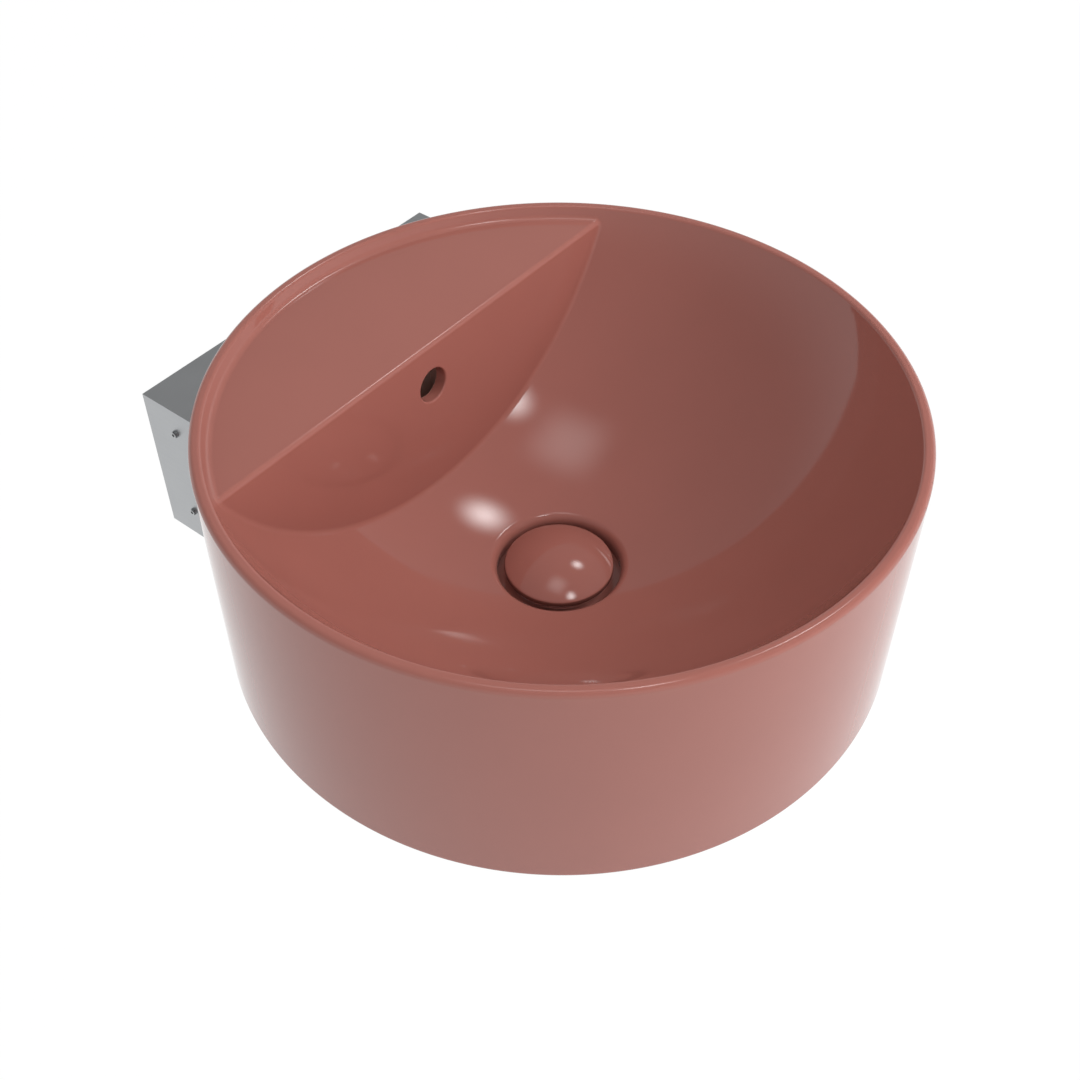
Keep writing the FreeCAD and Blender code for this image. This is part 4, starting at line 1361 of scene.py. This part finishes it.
class BASIN_OT_studio(bpy.types.Operator):
    """Camera, lamps, pale floor and white surroundings."""

    bl_idname = "basin.studio"
    bl_label = "Studio"

    def execute(self, context):
        make_camera()
        make_lamps()
        make_floor()
        make_world()
        context.scene.view_settings.view_transform = "Standard"
        return {"FINISHED"}


# --- Studio ---

CAMERA_PLACE = Vector((-0.4983, -0.5989, 0.6063))
CAMERA_AZIMUTH = math.radians(-51.717)     # looking direction, turned from +Y
CAMERA_ELEVATION = math.radians(45.651)    # looking down
LENS_MM = 47.76
SENSOR_MM = 36.0
BOWL_CENTRE = Vector((0, AXIS_Y, RIM_Z - 0.06))
FLOOR_DEPTH = 0.85                         # floor below the rim, as such a basin is hung
AMBIENT_LEVEL = 0.59                       # the world's light on the object
CEILING_LEVEL = 0.37                       # what reflections see overhead
CEILING_FROM = 0.5                         # sine of the elevation where the ceiling starts
DISC_FADE = 2.0                            # how fast a round lamp fades towards its edge
LAMP_HALF = 0.5                            # half a lamp, in the 0 to 1 that runs across it
FLOOR_HALF = 6.0                           # half the floor's side
FLOOR_GREY = 0.8                           # what the floor reflects of the light on it
FLOOR_GLOW = 1.02                          # the floor's own white, for what looks at it
FLOOR_GLOW_SHARE = 0.96                    # its share; the rest shows the basin's soft shadow


def make_camera():
    """The camera, in the place and with the lens that the photograph was taken with."""
    data = bpy.data.cameras.new("camera")
    data.lens = LENS_MM
    data.sensor_width = SENSOR_MM
    data.clip_start = 0.01
    camera = linked("camera", data)
    forward = Vector((-math.sin(CAMERA_AZIMUTH) * math.cos(CAMERA_ELEVATION),
                      math.cos(CAMERA_AZIMUTH) * math.cos(CAMERA_ELEVATION),
                      -math.sin(CAMERA_ELEVATION)))
    camera.location = CAMERA_PLACE
    camera.rotation_euler = forward.to_track_quat("-Z", "Y").to_euler()
    bpy.context.scene.camera = camera


def soft_edged(lamp_data, core):
    """A lamp whose diffuser fades from its core, a share of its half width, to its edge."""
    tree = empty_tree(lamp_data)
    own_place = add(tree, "ShaderNodeNewGeometry").outputs["Parametric"]
    flat = vector(tree, "MULTIPLY", vector(tree, "SUBTRACT", own_place, (LAMP_HALF, LAMP_HALF, 0.0)),
                  (1.0, 1.0, 0.0))
    if lamp_data.shape == "DISK":
        reaches = [vector(tree, "LENGTH", flat)]
    else:
        axes = add(tree, "ShaderNodeSeparateXYZ", {"Vector": vector(tree, "ABSOLUTE", flat)}).outputs
        reaches = [axes["X"], axes["Y"]]
    level = 1.0
    for reach in reaches:
        fade = add(tree, "ShaderNodeMapRange",
                   {"Value": reach, "From Min": LAMP_HALF * core, "From Max": LAMP_HALF,
                    "To Min": 1.0, "To Max": 0.0}, interpolation_type="SMOOTHSTEP")
        level = both(tree, fade.outputs["Result"], level)
    if lamp_data.shape == "DISK":
        level = add(tree, "ShaderNodeMath", {0: level, 1: DISC_FADE}, operation="POWER").outputs[0]
    light = add(tree, "ShaderNodeEmission", {"Strength": level})
    add(tree, "ShaderNodeOutputLight", {"Surface": light.outputs[0]})


def make_lamp(name, direction, distance, size, power, shape="DISK", core=None, turn=0.0):
    """A lamp that faces the bowl from a direction. One with a core has a soft edge and is only
    seen as a highlight; one without only gives its even light."""
    data = bpy.data.lights.new(name, "AREA")
    data.shape = shape
    data.size = size
    data.energy = power
    lamp = linked(name, data)
    towards = Vector(direction).normalized()
    lamp.location = BOWL_CENTRE + towards * distance
    aim = (-towards).to_track_quat("-Z", "Y") @ Quaternion(UP, math.radians(turn))
    lamp.rotation_euler = aim.to_euler()
    lamp.visible_camera = False
    lamp.visible_glossy = core is not None
    lamp.visible_diffuse = core is None
    if core is not None:
        soft_edged(data, core)


def make_lamps():
    """Two round lamps and a faint overhead box, seen as highlights, and three wide soft fills."""
    make_lamp("right lamp", (0.544, 0.037, 0.838), 8.0, 2.9, 250.0, core=0.0)
    make_lamp("front lamp", (-0.040, -0.332, 0.942), 8.0, 2.9, 250.0, core=0.0)
    make_lamp("overhead box", (-0.035, 0.016, 0.999), 9.0, 4.6, 125.0, "SQUARE", core=0.1,
              turn=35)
    make_lamp("wide front fill", (0.46, -0.59, 0.66), 2.6, 2.0, 42.0)
    make_lamp("wide left fill", (-0.59, -0.46, 0.66), 2.6, 2.0, 6.0)
    make_lamp("low front fill", (-0.1, -0.97, 0.2), 2.6, 1.2, 15.0)


def rays(tree, *kinds):
    """1 for rays of the given kinds, and 0 for others."""
    path = add(tree, "ShaderNodeLightPath")
    found = 0.0
    for kind in kinds:
        found = add(tree, "ShaderNodeMath", {0: found, 1: path.outputs[f"Is {kind} Ray"]},
                    operation="MAXIMUM").outputs[0]
    return found


def make_floor():
    """A plain pale floor, white where it is looked at, with the basin's soft shadow left in it."""
    mesh = bpy.data.meshes.new("floor")
    z = RIM_Z - FLOOR_DEPTH
    corners = [(x * FLOOR_HALF, y * FLOOR_HALF, z) for x, y in ((-1, -1), (1, -1), (1, 1), (-1, 1))]
    mesh.from_pydata(corners, [], [(0, 1, 2, 3)])
    floor = linked("floor", mesh)
    material = bpy.data.materials.new("matt white floor")
    tree = empty_tree(material)
    glow = add(tree, "ShaderNodeEmission",
               {"Color": tuple(finishes().backdrop), "Strength": FLOOR_GLOW})
    matt = add(tree, "ShaderNodeBsdfDiffuse", {"Color": (*[FLOOR_GREY] * 3, 1.0)})
    share = both(tree, rays(tree, "Camera", "Glossy", "Transmission"), FLOOR_GLOW_SHARE)
    mixed = add(tree, "ShaderNodeMixShader", {0: share, 1: matt.outputs[0], 2: glow.outputs[0]})
    add(tree, "ShaderNodeOutputMaterial", {"Surface": mixed.outputs[0]})
    mesh.materials.append(material)


def make_world():
    """White surroundings for whatever looks at them, with a dimmer ceiling in reflections, and
    even soft light from all round."""
    world = bpy.data.worlds.new("white studio")
    tree = empty_tree(world)
    direction = add(tree, "ShaderNodeSeparateXYZ",
                    {"Vector": add(tree, "ShaderNodeTexCoord").outputs["Generated"]})
    ceiling = add(tree, "ShaderNodeMapRange",
                  {"Value": direction.outputs["Z"], "From Min": 0.0, "From Max": CEILING_FROM,
                   "To Min": 1.0, "To Max": CEILING_LEVEL}, interpolation_type="SMOOTHSTEP")
    lit = add(tree, "ShaderNodeMix", {"Factor": rays(tree, "Glossy"), "A": AMBIENT_LEVEL,
                                      "B": ceiling.outputs["Result"]})
    level = add(tree, "ShaderNodeMix", {"Factor": rays(tree, "Camera", "Transmission"),
                                        "A": lit.outputs["Result"], "B": 1.0})
    light = add(tree, "ShaderNodeBackground", {"Color": tuple(finishes().backdrop),
                                               "Strength": level.outputs["Result"]})
    add(tree, "ShaderNodeOutputWorld", {"Surface": light.outputs[0]})
    bpy.context.scene.world = world


class BASIN_PT_sidebar(bpy.types.Panel):
    """Lists the operators with the sizes and colours that they read."""

    bl_idname = "BASIN_PT_sidebar"
    bl_label = "Wall hung basin"
    bl_space_type = "VIEW_3D"
    bl_region_type = "UI"
    bl_category = "Basin"

    def draw(self, context):
        layout = self.layout
        for operator in OPERATORS:
            layout.operator(operator.bl_idname)
        for group in (context.scene.basin_sizes, context.scene.basin_finishes):
            for key in group.bl_rna.properties.keys():
                if key not in ("rna_type", "name"):
                    layout.prop(group, key)


OPERATORS = (BASIN_OT_ceramic_body, BASIN_OT_drain_cover, BASIN_OT_waste, BASIN_OT_plug,
             BASIN_OT_bracket, BASIN_OT_fasteners, BASIN_OT_plain_nodes, BASIN_OT_studio)
CLASSES = (BasinSizes, BasinFinishes, *OPERATORS, BASIN_PT_sidebar)


def register():
    for cls in CLASSES:
        bpy.utils.register_class(cls)
    bpy.types.Scene.basin_sizes = bpy.props.PointerProperty(type=BasinSizes)
    bpy.types.Scene.basin_finishes = bpy.props.PointerProperty(type=BasinFinishes)


def unregister():
    del bpy.types.Scene.basin_finishes
    del bpy.types.Scene.basin_sizes
    for cls in reversed(CLASSES):
        bpy.utils.unregister_class(cls)


def main():
    register()
    bpy.ops.basin.ceramic_body()
    bpy.ops.basin.drain_cover()
    bpy.ops.basin.waste()
    bpy.ops.basin.plug()
    bpy.ops.basin.bracket()
    bpy.ops.basin.fasteners()
    bpy.ops.basin.plain_nodes()
    bpy.ops.basin.studio()


if __name__ == "__main__":
    main()
